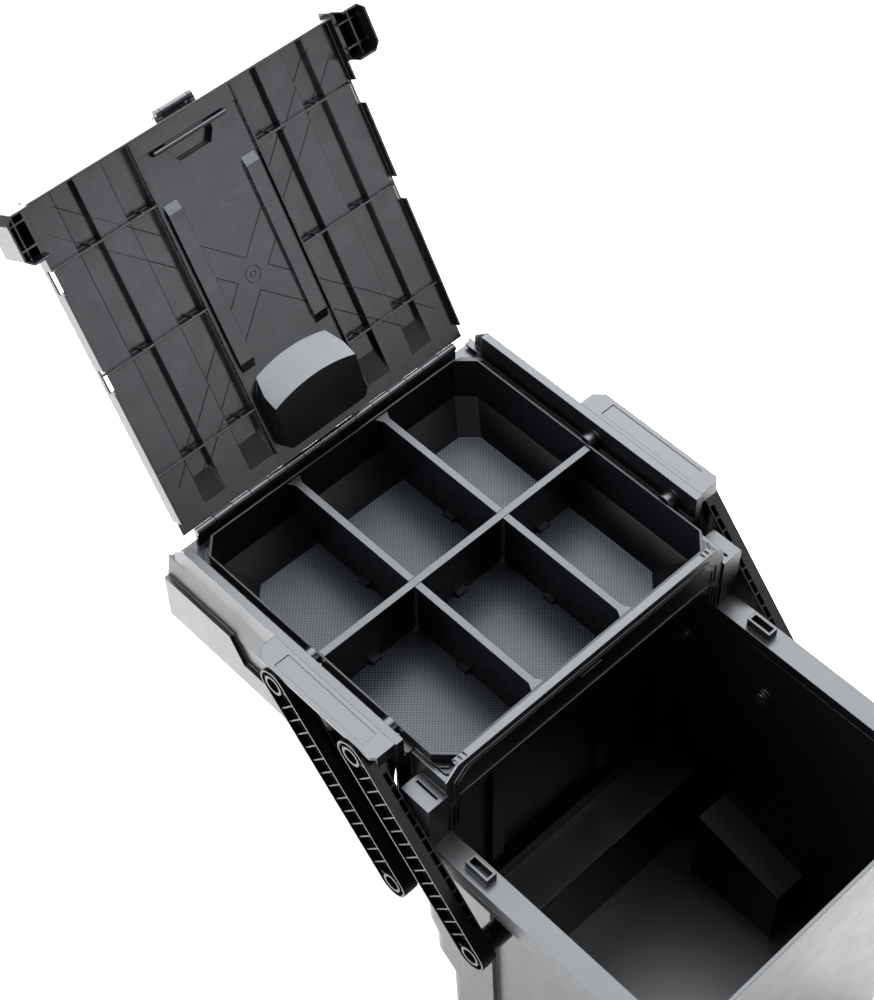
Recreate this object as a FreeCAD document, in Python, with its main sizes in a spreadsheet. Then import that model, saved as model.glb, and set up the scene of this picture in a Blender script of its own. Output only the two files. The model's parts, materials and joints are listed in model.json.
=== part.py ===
import FreeCAD
import Part
import math
import os
import Sketcher

# A rolling job box: a deep bin on two wheels, and a six-compartment tray with a hinged lid that swings
# up and back over the bin on four parallel arms. It stands with the tray swung back and the lid open.
# X runs to the right, Y to the rear and Z up. The origin lies on the floor, mid-width, in the middle of
# the foot strip under the front of the bin. Lengths are millimetres and angles degrees.

SIZES = (
    # name, value, what it is
    ("clearance", 0.5, "gap between pieces that lie beside each other"),
    ("running", 0.08, "radial gap of a pin in its bore"),
    ("overrun", 2, "how far a cut runs past the face that it opens"),
    # bin
    ("foot_setback", 49, "front face of the bin ahead of the origin"),
    ("rail_height", 537, "top of the side rails above the floor"),
    ("bin_depth", 438, "bin wall, front to rear"),
    ("bin_half_width", 228, "mid-width to the outside of the side wall, at the top"),
    ("side_taper", 16, "how far a side wall leans in from top to bottom"),
    ("front_taper", 10, "how far the front wall leans in from top to bottom"),
    ("bin_wall", 4, "wall of the bin"),
    ("bin_corner", 24, "outer radius of the bin's upright corners"),
    ("notch_reach", 41, "lowest part of the rear wall ahead of its upper part"),
    ("notch_step", 13, "middle part of the rear wall ahead of its upper part"),
    ("notch_low", 147, "height where the rear wall's lowest part ends"),
    ("notch_low_slope", 29, "height of the slope above the rear wall's lowest part"),
    ("notch_high", 221, "height where the rear wall's middle part ends"),
    ("notch_high_slope", 24, "height of the slope above the rear wall's middle part"),
    ("floor_height", 33, "underside of the bin above the floor"),
    ("rail_width", 31, "side rail, across"),
    ("rail_rise", 18, "side rail, height"),
    ("rail_wall", 3, "wall of the hollow side rail"),
    ("rear_ledge", 18, "flange behind the rear wall"),
    ("flange_plate", 4, "plate of the flange round the bin's mouth"),
    ("flange_skirt", 14, "lip that hangs from the flange"),
    ("upstand_rise", 46, "front wall's upstand above the rails"),
    ("upstand_wall", 5, "upstand, thickness"),
    ("upstand_side_gap", 20, "upstand's end to the outside of the bin's side wall"),
    ("tube_cover_width", 36, "upright bulge inside the rear wall, across"),
    ("tube_cover_depth", 7, "upright bulge inside the rear wall, how far it stands in"),
    ("tube_cover_drop", 34, "rails' top to the top of the upright bulge"),
    ("pillar_depth", 8, "upright rib on the side wall, how far it stands out"),
    ("pillar_width", 53, "upright rib on the side wall, along the wall"),
    ("pillar_foot", 60, "upright rib's lower end above the bin's underside"),
    ("groove_width", 5, "groove across the bin's floor"),
    ("groove_depth", 1.5, "groove across the bin's floor"),
    ("groove_back", 113, "groove across the bin's floor, from the front face"),
    ("pocket_back", 169, "side hand pocket, from the bin's front face"),
    ("pocket_length", 135, "side hand pocket, along the wall"),
    ("pocket_reach", 46, "side hand pocket, depth into the bin"),
    ("pocket_height", 148, "side hand pocket, top above the bin's underside at its rear"),
    ("pocket_fall", 38, "side hand pocket, how much lower its front is"),
    ("socket_back", 295, "rail socket, from the bin's front face"),
    ("socket_length", 35, "rail socket, along the rail"),
    ("socket_width", 15, "rail socket, across"),
    ("socket_rise", 13, "rail socket above the rail"),
    ("socket_wall", 3, "rail socket, wall"),
    ("socket_inset", 9, "rail socket, from the rail's outer face"),
    # wheels, axle and foot
    ("wheel_radius", 72, "wheel over its tyre"),
    ("wheel_width", 34, "tyre, across"),
    ("tyre_depth", 14, "tyre, from tread to rim"),
    ("rim_wall", 5, "wheel rim"),
    ("wheel_web", 5, "wheel disc"),
    ("wheel_inset", 108, "wheel's outer face inside the bin's top width"),
    ("hub_radius", 17, "wheel boss"),
    ("spoke_wall", 5, "spoke"),
    ("axle_radius", 6, "axle"),
    ("axle_back", 3, "axle behind the bin's rear wall"),
    ("axle_end", 5, "axle beyond the wheel"),
    ("spacer_radius", 9, "spacer between a wheel and its carrier"),
    ("well_front_gap", 9, "tyre to the wall ahead of it"),
    ("well_side_gap", 12, "wheel's outer face to the wall beside it"),
    ("well_top_gap", 43, "tyre to the step above it"),
    ("carrier_wall", 6, "plate that carries the axle"),
    ("carrier_gap", 10, "outer carrier plate to the wheel"),
    ("carrier_pitch", 46, "outer carrier plate to the inner one"),
    ("carrier_radius", 15, "round end of a carrier plate"),
    ("cap_radius", 13, "axle cap"),
    ("cap_wall", 3, "axle cap, end and skirt"),
    ("foot_half_width", 170, "front foot, half its length across the bin"),
    ("foot_half_depth", 27, "front foot, half its depth"),
    ("foot_flare", 8, "how far the foot's ends and sides slope in to the strip"),
    ("strip_rise", 4, "rubber strip under the foot"),
    ("strip_margin", 10, "foot's edge to the strip"),
    # pull handle
    ("housing_half_width", 136, "handle housing, half its width"),
    ("housing_depth", 53, "handle housing behind the rear wall"),
    ("housing_wall", 3, "handle housing, wall"),
    ("housing_corner", 12, "handle housing, upright corners"),
    ("housing_gap", 6, "handle housing above the step's top"),
    ("housing_margin", 5, "housing's top below the stowed grip"),
    ("tube_spread", 95, "mid-width to a handle tube"),
    ("pull_gap", 3, "pull handle's grip to the flange ahead of it"),
    ("tube_radius", 12.5, "fixed sleeve, outside"),
    ("tube_wall", 1.5, "wall of a handle tube"),
    ("tube_play", 0.6, "gap between one tube and the next"),
    ("grip_half_width", 122, "pull handle's grip, half its width"),
    ("grip_depth", 30, "pull handle's grip, front to rear"),
    ("grip_rise", 30, "pull handle's grip, height"),
    ("grip_corner", 9, "pull handle's grip, rounded ends"),
    ("grip_drop", 3, "stowed grip below the rails' top"),
    ("button_half_width", 19, "release button, half its width"),
    ("button_depth", 13, "release button, front to rear"),
    ("button_rise", 2, "release button above the grip"),
    ("button_travel", 4, "release button's travel"),
    ("screw_radius", 3, "housing screw"),
    ("screw_head", 5.5, "housing screw, head radius"),
    ("screw_head_rise", 2.5, "housing screw, head height"),
    # arms
    ("arm_length", 285, "pivot to pivot"),
    ("arm_lean", 41.4, "lean of the arms from upright, in degrees"),
    ("front_pivot_back", 282.4, "lower front pivot, from the bin's front face"),
    ("pivot_spacing", 131, "front arm to rear arm"),
    ("arm_offset", 264.5, "mid-width to an arm's inner face"),
    ("arm_thickness", 21.5, "arm, across"),
    ("arm_half_width", 22, "half the arm's width, and the radius of its ends"),
    ("arm_wall", 3, "arm's side walls and ring walls"),
    ("arm_web", 10.5, "arm's inner part, across, behind the open channel"),
    ("arm_rib", 2, "arm's cross ribs"),
    ("arm_rib_slant", 9, "how far one end of a cross rib is higher than the other"),
    ("arm_ring", 14, "outer radius of the ring round a pivot"),
    ("arm_rib_end", 31, "pivot to the nearest cross rib"),
    ("arm_slot_inset", 2, "arm's inner face to the row of slots in its front edge"),
    ("arm_slot_width", 6, "slot in the arm's front edge, across"),
    ("arm_slot_depth", 9, "slot in the arm's front edge"),
    ("pin_radius", 6, "pivot pin"),
    ("pin_head_radius", 9.5, "pivot pin, head radius"),
    ("pin_head_rise", 2, "pivot pin, head height"),
    ("pin_sink", 9, "pivot pin's outer head below the arm's outer face"),
    ("boss_radius", 15, "boss that an arm turns on"),
    ("inner_boss_reach", 7, "boss inside the bin, from the top of the wall's outside"),
    # tray
    ("rim_above_pivots", 6.2, "tray's rim above the upper pivots"),
    ("beam_depth", 13, "front face of the tray to the tub"),
    ("tub_half_width", 220, "tub's mouth, half its width inside"),
    ("tub_length", 420, "tub's mouth, front to rear inside"),
    ("tub_depth", 92, "tub, inside"),
    ("tub_rise", 28.5, "tub's underside above the rails' top"),
    ("tub_wall", 2.5, "wall of the tub"),
    ("tub_chamfer", 21, "tub's cut corners"),
    ("knee_depth", 58, "depth where the tub's walls begin to slope in"),
    ("knee_inset", 6, "how far the walls lean in down to there"),
    ("floor_side_inset", 31, "tub's floor inside its mouth, at the sides"),
    ("floor_end_inset", 40, "tub's floor inside its mouth, front and rear"),
    ("moat_width", 19, "tub's mouth to the raised rim of the frame"),
    ("moat_depth", 14, "top of the tub's flange below its rim"),
    ("rim_width", 11, "raised rim of the frame, across"),
    ("frame_wall", 3, "wall of the frame"),
    ("flare_drop", 32, "raised rim's top to where the side wall flares out"),
    ("flare_depth", 38, "height of the flared wall"),
    ("flare_reach", 6, "how far the side wall flares out"),
    ("belt_reach", 6, "belt along the foot of the side wall, how far it stands out"),
    ("belt_rise", 75, "belt's height at the rear"),
    ("low_belt_rise", 38, "belt's height at the front"),
    ("belt_slope", 22, "length of the slope from the low belt to the high one"),
    ("high_belt_length", 122, "high belt, from the tray's rear"),
    ("rim_front_gap", 60, "front face of the tray to the raised rim"),
    ("rim_rear_gap", 33, "tray's rear to the raised rim"),
    ("rim_ramp", 20, "sloping rear end of the raised rim"),
    ("hinge_back", 14, "tub's mouth to the lid's hinge line"),
    ("hinge_rise", 5.5, "hinge line above the tray's rim"),
    ("hinge_to_rear", 10, "hinge line to the tray's rear face"),
    ("rear_drop", 22, "tray's rear wall below its rim"),
    ("leg_width", 16, "front leg of the tray, across"),
    ("leg_depth", 17, "front leg of the tray, front to rear"),
    ("leg_offset", 229, "mid-width to the outside of a front leg"),
    ("corner_inset", 6, "outside of a front leg to the moat's edge above it"),
    ("arch_rise", 48, "top of the front opening above the rails"),
    ("arch_corner", 14, "cut corners of the front opening"),
    ("band_corner", 18, "cut corners of the front band"),
    ("bead_width", 4, "raised line round the front band"),
    ("bead_reach", 1.5, "raised line, how far it stands out"),
    ("bead_inset", 9, "raised line to the opening"),
    ("line_margin", 11, "edge of the front band to the first raised line near it"),
    ("line_pitch", 6, "raised line near the band's edge to the next"),
    ("line_width", 2.5, "raised line near the band's edge"),
    ("lip_depth", 11, "thick edge of the front opening"),
    ("lip_width", 5, "thick edge of the front opening"),
    ("block_reach", 31, "front corner block beyond the leg"),
    ("block_length", 45, "front corner block, front to rear"),
    ("block_drop", 40, "front corner block's top below the tray's rim"),
    ("block_slot_width", 3, "slot in the corner block's top"),
    ("block_slot_depth", 12, "slot in the corner block's top"),
    ("grip_groove_width", 3, "finger groove in the front beam"),
    ("grip_groove_depth", 2, "finger groove in the front beam"),
    ("grip_groove_pitch", 7, "finger groove to the next"),
    ("barrel_radius", 12, "barrel of an upper pivot across the moat"),
    # dividers
    ("divider_wall", 2.5, "divider"),
    ("divider_cap", 9.5, "flat cap along a divider's top"),
    ("divider_cap_rise", 3, "cap, height"),
    ("divider_drop", 2, "divider's top below the tray's rim"),
    ("divider_spread", 72.6, "mid-width to a cross divider"),
    ("divider_foot_width", 16, "clip at a divider's foot, along it"),
    ("divider_foot_rise", 6, "clip at a divider's foot, height"),
    ("divider_foot_reach", 5, "clip at a divider's foot, how far it stands out"),
    ("divider_flare", 20, "cap's flared end"),
    # side grips
    ("roof_plate", 4.5, "top plate of a side grip"),
    ("roof_gap", 0.8, "side grip above the arms' ends"),
    ("grip_reach", 33, "side grip, how far it stands out"),
    ("grip_front_gap", 13, "side grip ahead of the front arm's end"),
    ("grip_end_drop", 20, "side grip's end walls, height"),
    ("grip_back_rise", 25, "side grip's wall against the tray, height"),
    ("tread_inset", 6, "side grip's edge to the hollow in its top"),
    ("tread_depth", 1.2, "hollow in the side grip's top"),
    # lid
    ("lid_open", 120.9, "how far the lid stands open, in degrees"),
    ("lid_half_width", 229, "lid, half its width"),
    ("lid_skin", 2.2, "skin of the lid"),
    ("channel_depth", 9, "depth of the lid's channels"),
    ("channel_slope", 4, "width of a channel's sloped side"),
    ("channel_end", 24, "hinge line to the end of the channels"),
    ("channel_ramp", 34, "sloped end of a channel"),
    ("hinge_play", 0.6, "lid's rear edge, and the wall under its knuckles, to a knuckle"),
    ("rib_wall", 2.4, "cross rib of the lid"),
    ("rib_reach", 4.5, "cross rib below the lid"),
    ("side_rim_drop", 10, "lid's side rim below the hinge line"),
    ("front_lip_drop", 14, "lid's front lip below the hinge line"),
    ("notch_play", 3, "gap round a barrel in the lid's side rim"),
    ("ear_reach", 33, "lid's corner ear beyond its side"),
    ("ear_length", 62, "corner ear, front to rear"),
    ("ear_ahead", 5, "corner ear ahead of the lid's front"),
    ("ear_drop", 37.5, "corner ear below the hinge line"),
    ("ear_wall", 2.5, "corner ear, wall"),
    ("ear_corner", 9, "corner ear, rounded front"),
    ("bump_half_width", 62, "recess in the lid, half its width"),
    ("bump_rear", 26, "hinge line to the recess"),
    ("bump_length", 98, "recess in the lid, front to rear at mid-width"),
    ("bump_front_drop", 38, "recess, how far it hangs below the lid at its front"),
    ("bump_drop", 16, "recess, how far it hangs below the lid at its rear"),
    ("bump_bow", 190, "radius of the recess's bowed front"),
    ("bump_corner", 12, "cut front corners of the recess"),
    ("bump_round", 9, "rounded upright corners of the recess"),
    ("beam_width", 20, "long raised beam under the lid, across"),
    ("beam_rise", 5, "long raised beam, height"),
    ("beam_slope", 12, "long raised beam, sloped front end"),
    ("beam_front", 90, "lid's front to the long raised beams"),
    ("beam_back", 134, "hinge line to the rear end of the long raised beams"),
    ("beam_gap", 5, "edge of the middle panel to the long raised beam"),
    ("front_pad_length", 27, "raised pad under the lid's front"),
    ("front_pad_rise", 1.6, "raised pad under the lid's front, height"),
    ("latch_room_half_width", 32, "recess behind the latch, half its width at its front"),
    ("latch_room_length", 28, "recess behind the latch"),
    ("rib_boss", 3, "small boss where a cross rib meets a channel, radius"),
    ("panel_half_width", 76, "lid's middle panel, half its width"),
    ("knuckle_radius", 5, "hinge knuckle"),
    ("knuckle_gap", 0.6, "one knuckle to the next"),
    ("hinge_half_width", 213, "half the length of the row of knuckles"),
    ("rod_radius", 2, "hinge rod"),
    # latch
    ("latch_half_width", 20, "latch, half its width"),
    ("latch_length", 46, "latch, pivot to lower edge"),
    ("latch_swing", 210, "how far the latch stands folded back from shut, in degrees"),
    ("latch_wall", 4, "latch plate"),
    ("latch_pivot_rise", 4, "latch pivot above the hinge line"),
    ("latch_barrel", 5, "latch barrel, radius"),
    ("latch_pin", 1.8, "latch pin, radius"),
    ("latch_lug", 6, "lid's lug that holds the latch pin, across"),
    ("hook_reach", 2.5, "latch's hook"),
    ("hook_rise", 5, "latch's hook, height"),
    ("keeper_drop", 24, "keeper's upper edge below the tray's rim"),
    ("keeper_rise", 6, "keeper on the front band, height"),
    ("keeper_reach", 3, "keeper on the front band, how far it stands out"),
    ("keeper_half_width", 17, "keeper, half its width"),
    ("crossbar_half_width", 53, "bar under the lid's front, half its length"),
    ("crossbar_radius", 3, "bar under the lid's front"),
    ("crossbar_back", 31, "lid's front to the bar"),
    ("crossbar_drop", 2, "gap between the bar and the lid"),
    ("post_width", 6, "post of the bar"),
)

# Counts, and places along a piece as shares of its length.
ARM_RIBS = 13
SPOKES = 6
KNUCKLES = 15
GRIP_GROOVES = 3
BAND_LINES = 2
PILLAR_SHARES = (0.07, 0.33, 0.752)
LID_RIB_SHARES = (0.2, 0.51, 0.817)
CHANNEL_SHARES = ((0.34, 0.5), (0.67, 0.81))
EAR_RIB_SHARES = (0.25, 0.75)
SCREW_SHARES = (0.2, 0.8)
SCREW_SPREAD_SHARE = 0.5
DIVIDER_SHARE = 0.485
CLIP_SPREAD_SHARES = (-1.95, 0, 1.95)
BLOCK_SLOT_SHARE = 0.33
LATCH_ROOM_SHARE = 0.5
LATCH_ROOM_DRAW_SHARE = 0.33
TYRE_SHOULDER_SHARE = 0.25
DIAGONAL_SHARE = math.sqrt(0.5)

LEFT = -1
RIGHT = 1


class Size:
    """A size from the sheet, or a sum of such sizes: the formula that a property follows, and its value."""

    def __init__(self, formula, value):
        self.formula = formula
        self.value = value

    def join(self, sign, other, value):
        return Size("(%s %s %s)" % (self.formula, sign, other.formula), value)

    def __add__(self, other):
        other = as_size(other)
        return self.join("+", other, self.value + other.value)

    def __sub__(self, other):
        other = as_size(other)
        return self.join("-", other, self.value - other.value)

    def __mul__(self, other):
        other = as_size(other)
        return self.join("*", other, self.value * other.value)

    def __truediv__(self, other):
        other = as_size(other)
        return self.join("/", other, self.value / other.value)

    def __neg__(self):
        return Size("(0 - %s)" % self.formula, -self.value)

    def __rmul__(self, other):
        return as_size(other) * self

    def __radd__(self, other):
        return as_size(other) + self

    def __rsub__(self, other):
        return as_size(other) - self


def as_size(number):
    if isinstance(number, Size):
        return number
    return Size("%.6g" % number, number)


def sine(angle):
    return Size("sin(%s)" % angle.formula, math.sin(math.radians(angle.value)))


def cosine(angle):
    return Size("cos(%s)" % angle.formula, math.cos(math.radians(angle.value)))


class Sheet:
    """The sheet of driving sizes; each is read as an attribute with the size's name."""

    def __init__(self, document):
        sheet = document.addObject("Spreadsheet::Sheet", "sizes")
        for row, (name, value, meaning) in enumerate(SIZES, start=1):
            sheet.set("A%d" % row, "'" + name)
            sheet.set("B%d" % row, str(value))
            sheet.setAlias("B%d" % row, name)
            sheet.set("C%d" % row, "'" + meaning)
            setattr(self, name, Size("sizes." + name, float(value)))
        document.recompute()


doc = FreeCAD.newDocument("job_box")
s = Sheet(doc)
ZERO = as_size(0)
nodes = []


# Building blocks

def bind(thing, path, size):
    thing.setExpression(path, as_size(size).formula)


def box(name, x, y, z):
    """A block between a low and a high value along each axis."""
    block = doc.addObject("Part::Box", name)
    for axis, edge, (low, high) in zip("xyz", ("Length", "Width", "Height"), (x, y, z)):
        bind(block, "Placement.Base." + axis, low)
        bind(block, edge, as_size(high) - low)
    return block


AXIS_TURNS = {
    "x": FreeCAD.Rotation(FreeCAD.Vector(0, 1, 0), 90),
    "y": FreeCAD.Rotation(FreeCAD.Vector(1, 0, 0), -90),
    "z": FreeCAD.Rotation(),
}


def rod(name, axis, start, radius, length):
    """A cylinder that runs from start along one axis."""
    cylinder = doc.addObject("Part::Cylinder", name)
    cylinder.Placement = FreeCAD.Placement(FreeCAD.Vector(0, 0, 0), AXIS_TURNS[axis])
    for letter, place in zip("xyz", start):
        bind(cylinder, "Placement.Base." + letter, place)
    bind(cylinder, "Radius", radius)
    bind(cylinder, "Height", length)
    return cylinder


def fuse(name, pieces):
    whole = doc.addObject("Part::MultiFuse", name)
    whole.Shapes = pieces
    return whole


def cut(name, base, tools):
    result = doc.addObject("Part::Cut", name)
    result.Base = base
    result.Tool = tools[0] if len(tools) == 1 else fuse(name + "_tools", tools)
    return result


def group(name, pieces):
    """Like pieces that share a node and stay separate solids."""
    bundle = doc.addObject("Part::Compound", name)
    bundle.Links = pieces
    return bundle


def node(piece, label):
    """Gives a finished sub-part the name that its file carries."""
    piece.Label = label
    nodes.append(piece)
    return piece


def span(side, near, far):
    """The X range between two distances from mid-width, on the left or on the right."""
    return (as_size(near), as_size(far)) if side == RIGHT else (-as_size(far), -as_size(near))


def side_name(side):
    return "right" if side == RIGHT else "left"


def origin_plane(body, role):
    return [feature for feature in body.Origin.OriginFeatures if feature.Role == role][0]


def outline_sketch(body, name, plane, points, offset):
    """A closed outline of straight lines, each corner bound to its own sizes."""
    sketch = body.newObject("Sketcher::SketchObject", name)
    sketch.AttachmentSupport = [(origin_plane(body, plane + "_Plane"), "")]
    sketch.MapMode = "FlatFace"
    bind(sketch, "AttachmentOffset.Base.z", offset)
    places = [(as_size(a), as_size(b)) for a, b in points]
    count = len(places)
    for index, (a, b) in enumerate(places):
        after = places[(index + 1) % count]
        sketch.addGeometry(Part.LineSegment(
            FreeCAD.Vector(a.value, b.value, 0), FreeCAD.Vector(after[0].value, after[1].value, 0)))
    for index in range(count):
        sketch.addConstraint(Sketcher.Constraint("Coincident", index, 2, (index + 1) % count, 1))
    for index, (a, b) in enumerate(places):
        for kind, place in (("DistanceX", a), ("DistanceY", b)):
            number = sketch.addConstraint(Sketcher.Constraint(kind, -1, 1, index, 1, place.value))
            bind(sketch, "Constraints[%d]" % number, place)
    return sketch


def pad(body, name, sketch, length, reverse=False):
    feature = body.newObject("PartDesign::Pad", name)
    feature.Profile = sketch
    feature.Reversed = reverse
    bind(feature, "Length", length)
    return feature


def prism(name, plane, points, low, high):
    """A body with a straight-edged outline, from low to high across its plane."""
    body = doc.addObject("PartDesign::Body", name)
    low, high = as_size(low), as_size(high)
    if plane == "XZ":
        sketch = outline_sketch(body, name + "_outline", plane, points, -low)
        pad(body, name + "_pad", sketch, high - low, reverse=True)
    else:
        sketch = outline_sketch(body, name + "_outline", plane, points, low)
        pad(body, name + "_pad", sketch, high - low)
    return body


def loft(name, sections):
    """A body through level outlines, each given as its height and its points."""
    body = doc.addObject("PartDesign::Body", name)
    sketches = [outline_sketch(body, "%s_section_%d" % (name, index), "XY", points, height)
                for index, (height, points) in enumerate(sections)]
    feature = body.newObject("PartDesign::AdditiveLoft", name + "_loft")
    feature.Profile = sketches[0]
    feature.Sections = sketches[1:]
    feature.Ruled = True
    return body


def lean_back(piece, angle, y, z):
    """Turns a piece back about its own X axis and sets it at a height and a distance from the front."""
    turn = FreeCAD.Rotation(FreeCAD.Vector(-1, 0, 0), angle.value)
    piece.Placement = FreeCAD.Placement(FreeCAD.Vector(0, 0, 0), turn)
    bind(piece, "Placement.Rotation.Angle", angle)
    bind(piece, "Placement.Base.y", y)
    bind(piece, "Placement.Base.z", z)
    return piece


def soften(body, radius, wanted):
    """Rounds the edges of a body's last feature that the test picks."""
    doc.recompute()
    base = body.Tip
    names = ["Edge%d" % (index + 1) for index, edge in enumerate(base.Shape.Edges) if wanted(edge)]
    feature = body.newObject("PartDesign::Fillet", body.Name + "_round")
    feature.Base = (base, names)
    bind(feature, "Radius", radius)
    return body


def tapered(name, across, along, x, y):
    """A body with flat sides that lean: an outline seen from the front, crossed with one from the side."""
    both = doc.addObject("Part::MultiCommon", name + "_form")
    both.Shapes = [prism(name + "_across", "XZ", across, *y), prism(name + "_along", "YZ", along, *x)]
    doc.recompute()
    body = doc.addObject("PartDesign::Body", name)
    body.BaseFeature = both
    return body


def upright(edge):
    """True for an edge that climbs more than it runs."""
    first, last = edge.Vertexes[0].Point, edge.Vertexes[-1].Point
    run = math.hypot(last.x - first.x, last.y - first.y)
    return abs(last.z - first.z) > run


def rectangle(x, y):
    return [(x[0], y[0]), (x[1], y[0]), (x[1], y[1]), (x[0], y[1])]


def cut_corner_rectangle(half_width, low, high, corner):
    """A rectangle about mid-width with its four corners cut off."""
    return [(corner - half_width, low), (half_width - corner, low), (half_width, low + corner),
            (half_width, high - corner), (half_width - corner, high), (corner - half_width, high),
            (-half_width, high - corner), (-half_width, low + corner)]


# Places that several pieces share

front = -s.foot_setback
rear_wall = front + s.bin_depth
rim_rear = rear_wall + s.rear_ledge
rail_top = s.rail_height
flange_top = rail_top - s.rail_rise
rail_outer = s.bin_half_width - s.bin_wall + s.rail_width
rail_inner = s.bin_half_width - s.bin_wall

notch_low_y = rear_wall - s.notch_reach
notch_mid_y = rear_wall - s.notch_step
notch_top = s.notch_high + s.notch_high_slope
axle_y = rear_wall + s.axle_back
step_top = 2 * s.wheel_radius + s.well_top_gap + s.bin_wall
step_front = axle_y - s.wheel_radius - s.well_front_gap - s.bin_wall
wheel_outer = s.bin_half_width - s.wheel_inset
wheel_inner = wheel_outer - s.wheel_width
well_inner = wheel_inner - s.carrier_gap / 2
well_outer = wheel_outer + s.well_side_gap

swing = s.arm_length * sine(s.arm_lean)
lift = s.arm_length * cosine(s.arm_lean)
rim_z = rail_top + s.tub_rise + s.tub_wall + s.tub_depth
upper_pivot_z = rim_z - s.rim_above_pivots
lower_pivot_z = upper_pivot_z - lift
front_pivot_y = front + s.front_pivot_back
rear_pivot_y = front_pivot_y + s.pivot_spacing
arm_outer = s.arm_offset + s.arm_thickness
boss_end = s.arm_offset - s.clearance

tray_front = front + 2 * swing
tray_bottom = rail_top + s.clearance
tub_front = tray_front + s.beam_depth
tub_rear = tub_front + s.tub_length
hinge_y = tub_rear + s.hinge_back
hinge_z = rim_z + s.hinge_rise
tray_rear = hinge_y + s.hinge_to_rear
roof_low = upper_pivot_z + s.arm_half_width + s.roof_gap
frame_top = roof_low + s.roof_plate
rim_inner = s.tub_half_width + s.moat_width
rim_outer = rim_inner + s.rim_width
flare_outer = rim_outer + s.flare_reach
belt_outer = flare_outer + s.belt_reach
ledge_top = rim_z - s.moat_depth
rim_front = tray_front + s.rim_front_gap
corner_half = s.leg_offset - s.corner_inset
pivots = (("front", front_pivot_y), ("rear", rear_pivot_y))
lid_reach = hinge_y - tray_front + s.clearance + s.ear_wall
latch_ahead = s.latch_barrel + s.clearance
latch_out = lid_reach + latch_ahead
latch_y = hinge_y + s.latch_pivot_rise * sine(s.lid_open) - latch_out * cosine(s.lid_open)
latch_z = hinge_z + s.latch_pivot_rise * cosine(s.lid_open) + latch_out * sine(s.lid_open)


# Bin

def wall_inset(height):
    """How far the side wall has leaned in at a height."""
    return s.side_taper * (flange_top - height) / (flange_top - s.floor_height)


def bin_body(name, wall, bottom):
    """The bin's outer form drawn in by a wall on every side, from bottom up to the flange."""
    top_half = s.bin_half_width - wall
    low_half = top_half - wall_inset(bottom)
    lean = s.front_taper * (flange_top - bottom) / (flange_top - s.floor_height)
    across = [(-low_half, bottom), (low_half, bottom), (top_half, flange_top), (-top_half, flange_top)]
    along = [(front + lean + wall, bottom), (notch_low_y - wall, bottom), (notch_low_y - wall, s.notch_low),
             (notch_mid_y - wall, s.notch_low + s.notch_low_slope), (notch_mid_y - wall, s.notch_high),
             (rear_wall - wall, notch_top), (rear_wall - wall, flange_top), (front + wall, flange_top)]
    body = tapered(name, across, along, (-top_half, top_half), (front, rear_wall))
    return soften(body, s.bin_corner - wall, upright)


def pocket_block(name, side, wall, far):
    """The hand pocket low in a side wall, whose top falls towards the front."""
    near = s.bin_half_width - s.side_taper - s.pocket_reach - wall
    low = front + s.pocket_back - wall
    high = low + s.pocket_length + 2 * wall
    top = s.floor_height + s.pocket_height + wall
    points = [(low, ZERO), (high, ZERO), (high, top), (low, top - s.pocket_fall)]
    return prism(name, "YZ", points, *span(side, near, far))


def carrier(name, side, distance):
    """A plate under the step that carries the axle."""
    points = [(axle_y - s.carrier_radius, s.wheel_radius),
              (axle_y + s.carrier_radius, s.wheel_radius),
              (notch_mid_y, step_top - s.bin_wall / 2),
              (step_front + s.bin_wall, step_top - s.bin_wall / 2)]
    x = span(side, distance, distance + s.carrier_wall)
    plate = prism(name + "_plate", "YZ", points, *x)
    end = rod(name + "_end", "x", (x[0], axle_y, s.wheel_radius), s.carrier_radius, s.carrier_wall)
    return [plate, end]


def pillar(name, side, centre):
    """An upright rib on the outside of a side wall."""
    foot = s.floor_height + s.pillar_foot
    top = flange_top - s.flange_plate / 2
    inside = s.bin_half_width - s.bin_wall / 2
    points = [(inside - wall_inset(foot), foot),
              (s.bin_half_width + s.pillar_depth - wall_inset(foot), foot + s.pillar_depth),
              (s.bin_half_width + s.pillar_depth, top),
              (inside, top)]
    points = [(side * x, z) for x, z in points]
    return prism(name, "XZ", points, centre - s.pillar_width / 2, centre + s.pillar_width / 2)


def under_step_rooms():
    """The rooms under the rear step: one for each wheel, one between them, and one in each corner."""
    wall = s.bin_wall
    well_front = step_front + wall
    rooms = [box("bin_middle_room", (wall - well_inner, well_inner - wall), (well_front, rim_rear),
                 (ZERO, step_top - wall))]
    corner_end = s.bin_half_width - s.side_taper - wall
    for side in (LEFT, RIGHT):
        word = side_name(side)
        rooms.append(box("bin_%s_well" % word, span(side, well_inner, well_outer), (well_front, rim_rear),
                         (ZERO, step_top - wall)))
        rooms.append(box("bin_%s_corner_room" % word, span(side, well_outer + wall, corner_end),
                         (well_front, notch_low_y - s.bin_corner), (ZERO, step_top - wall)))
        rooms.append(box("bin_%s_rear_room" % word, span(side, well_outer + wall, corner_end - s.bin_corner),
                         (well_front, notch_low_y - wall), (ZERO, step_top - wall)))
    return rooms


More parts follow.
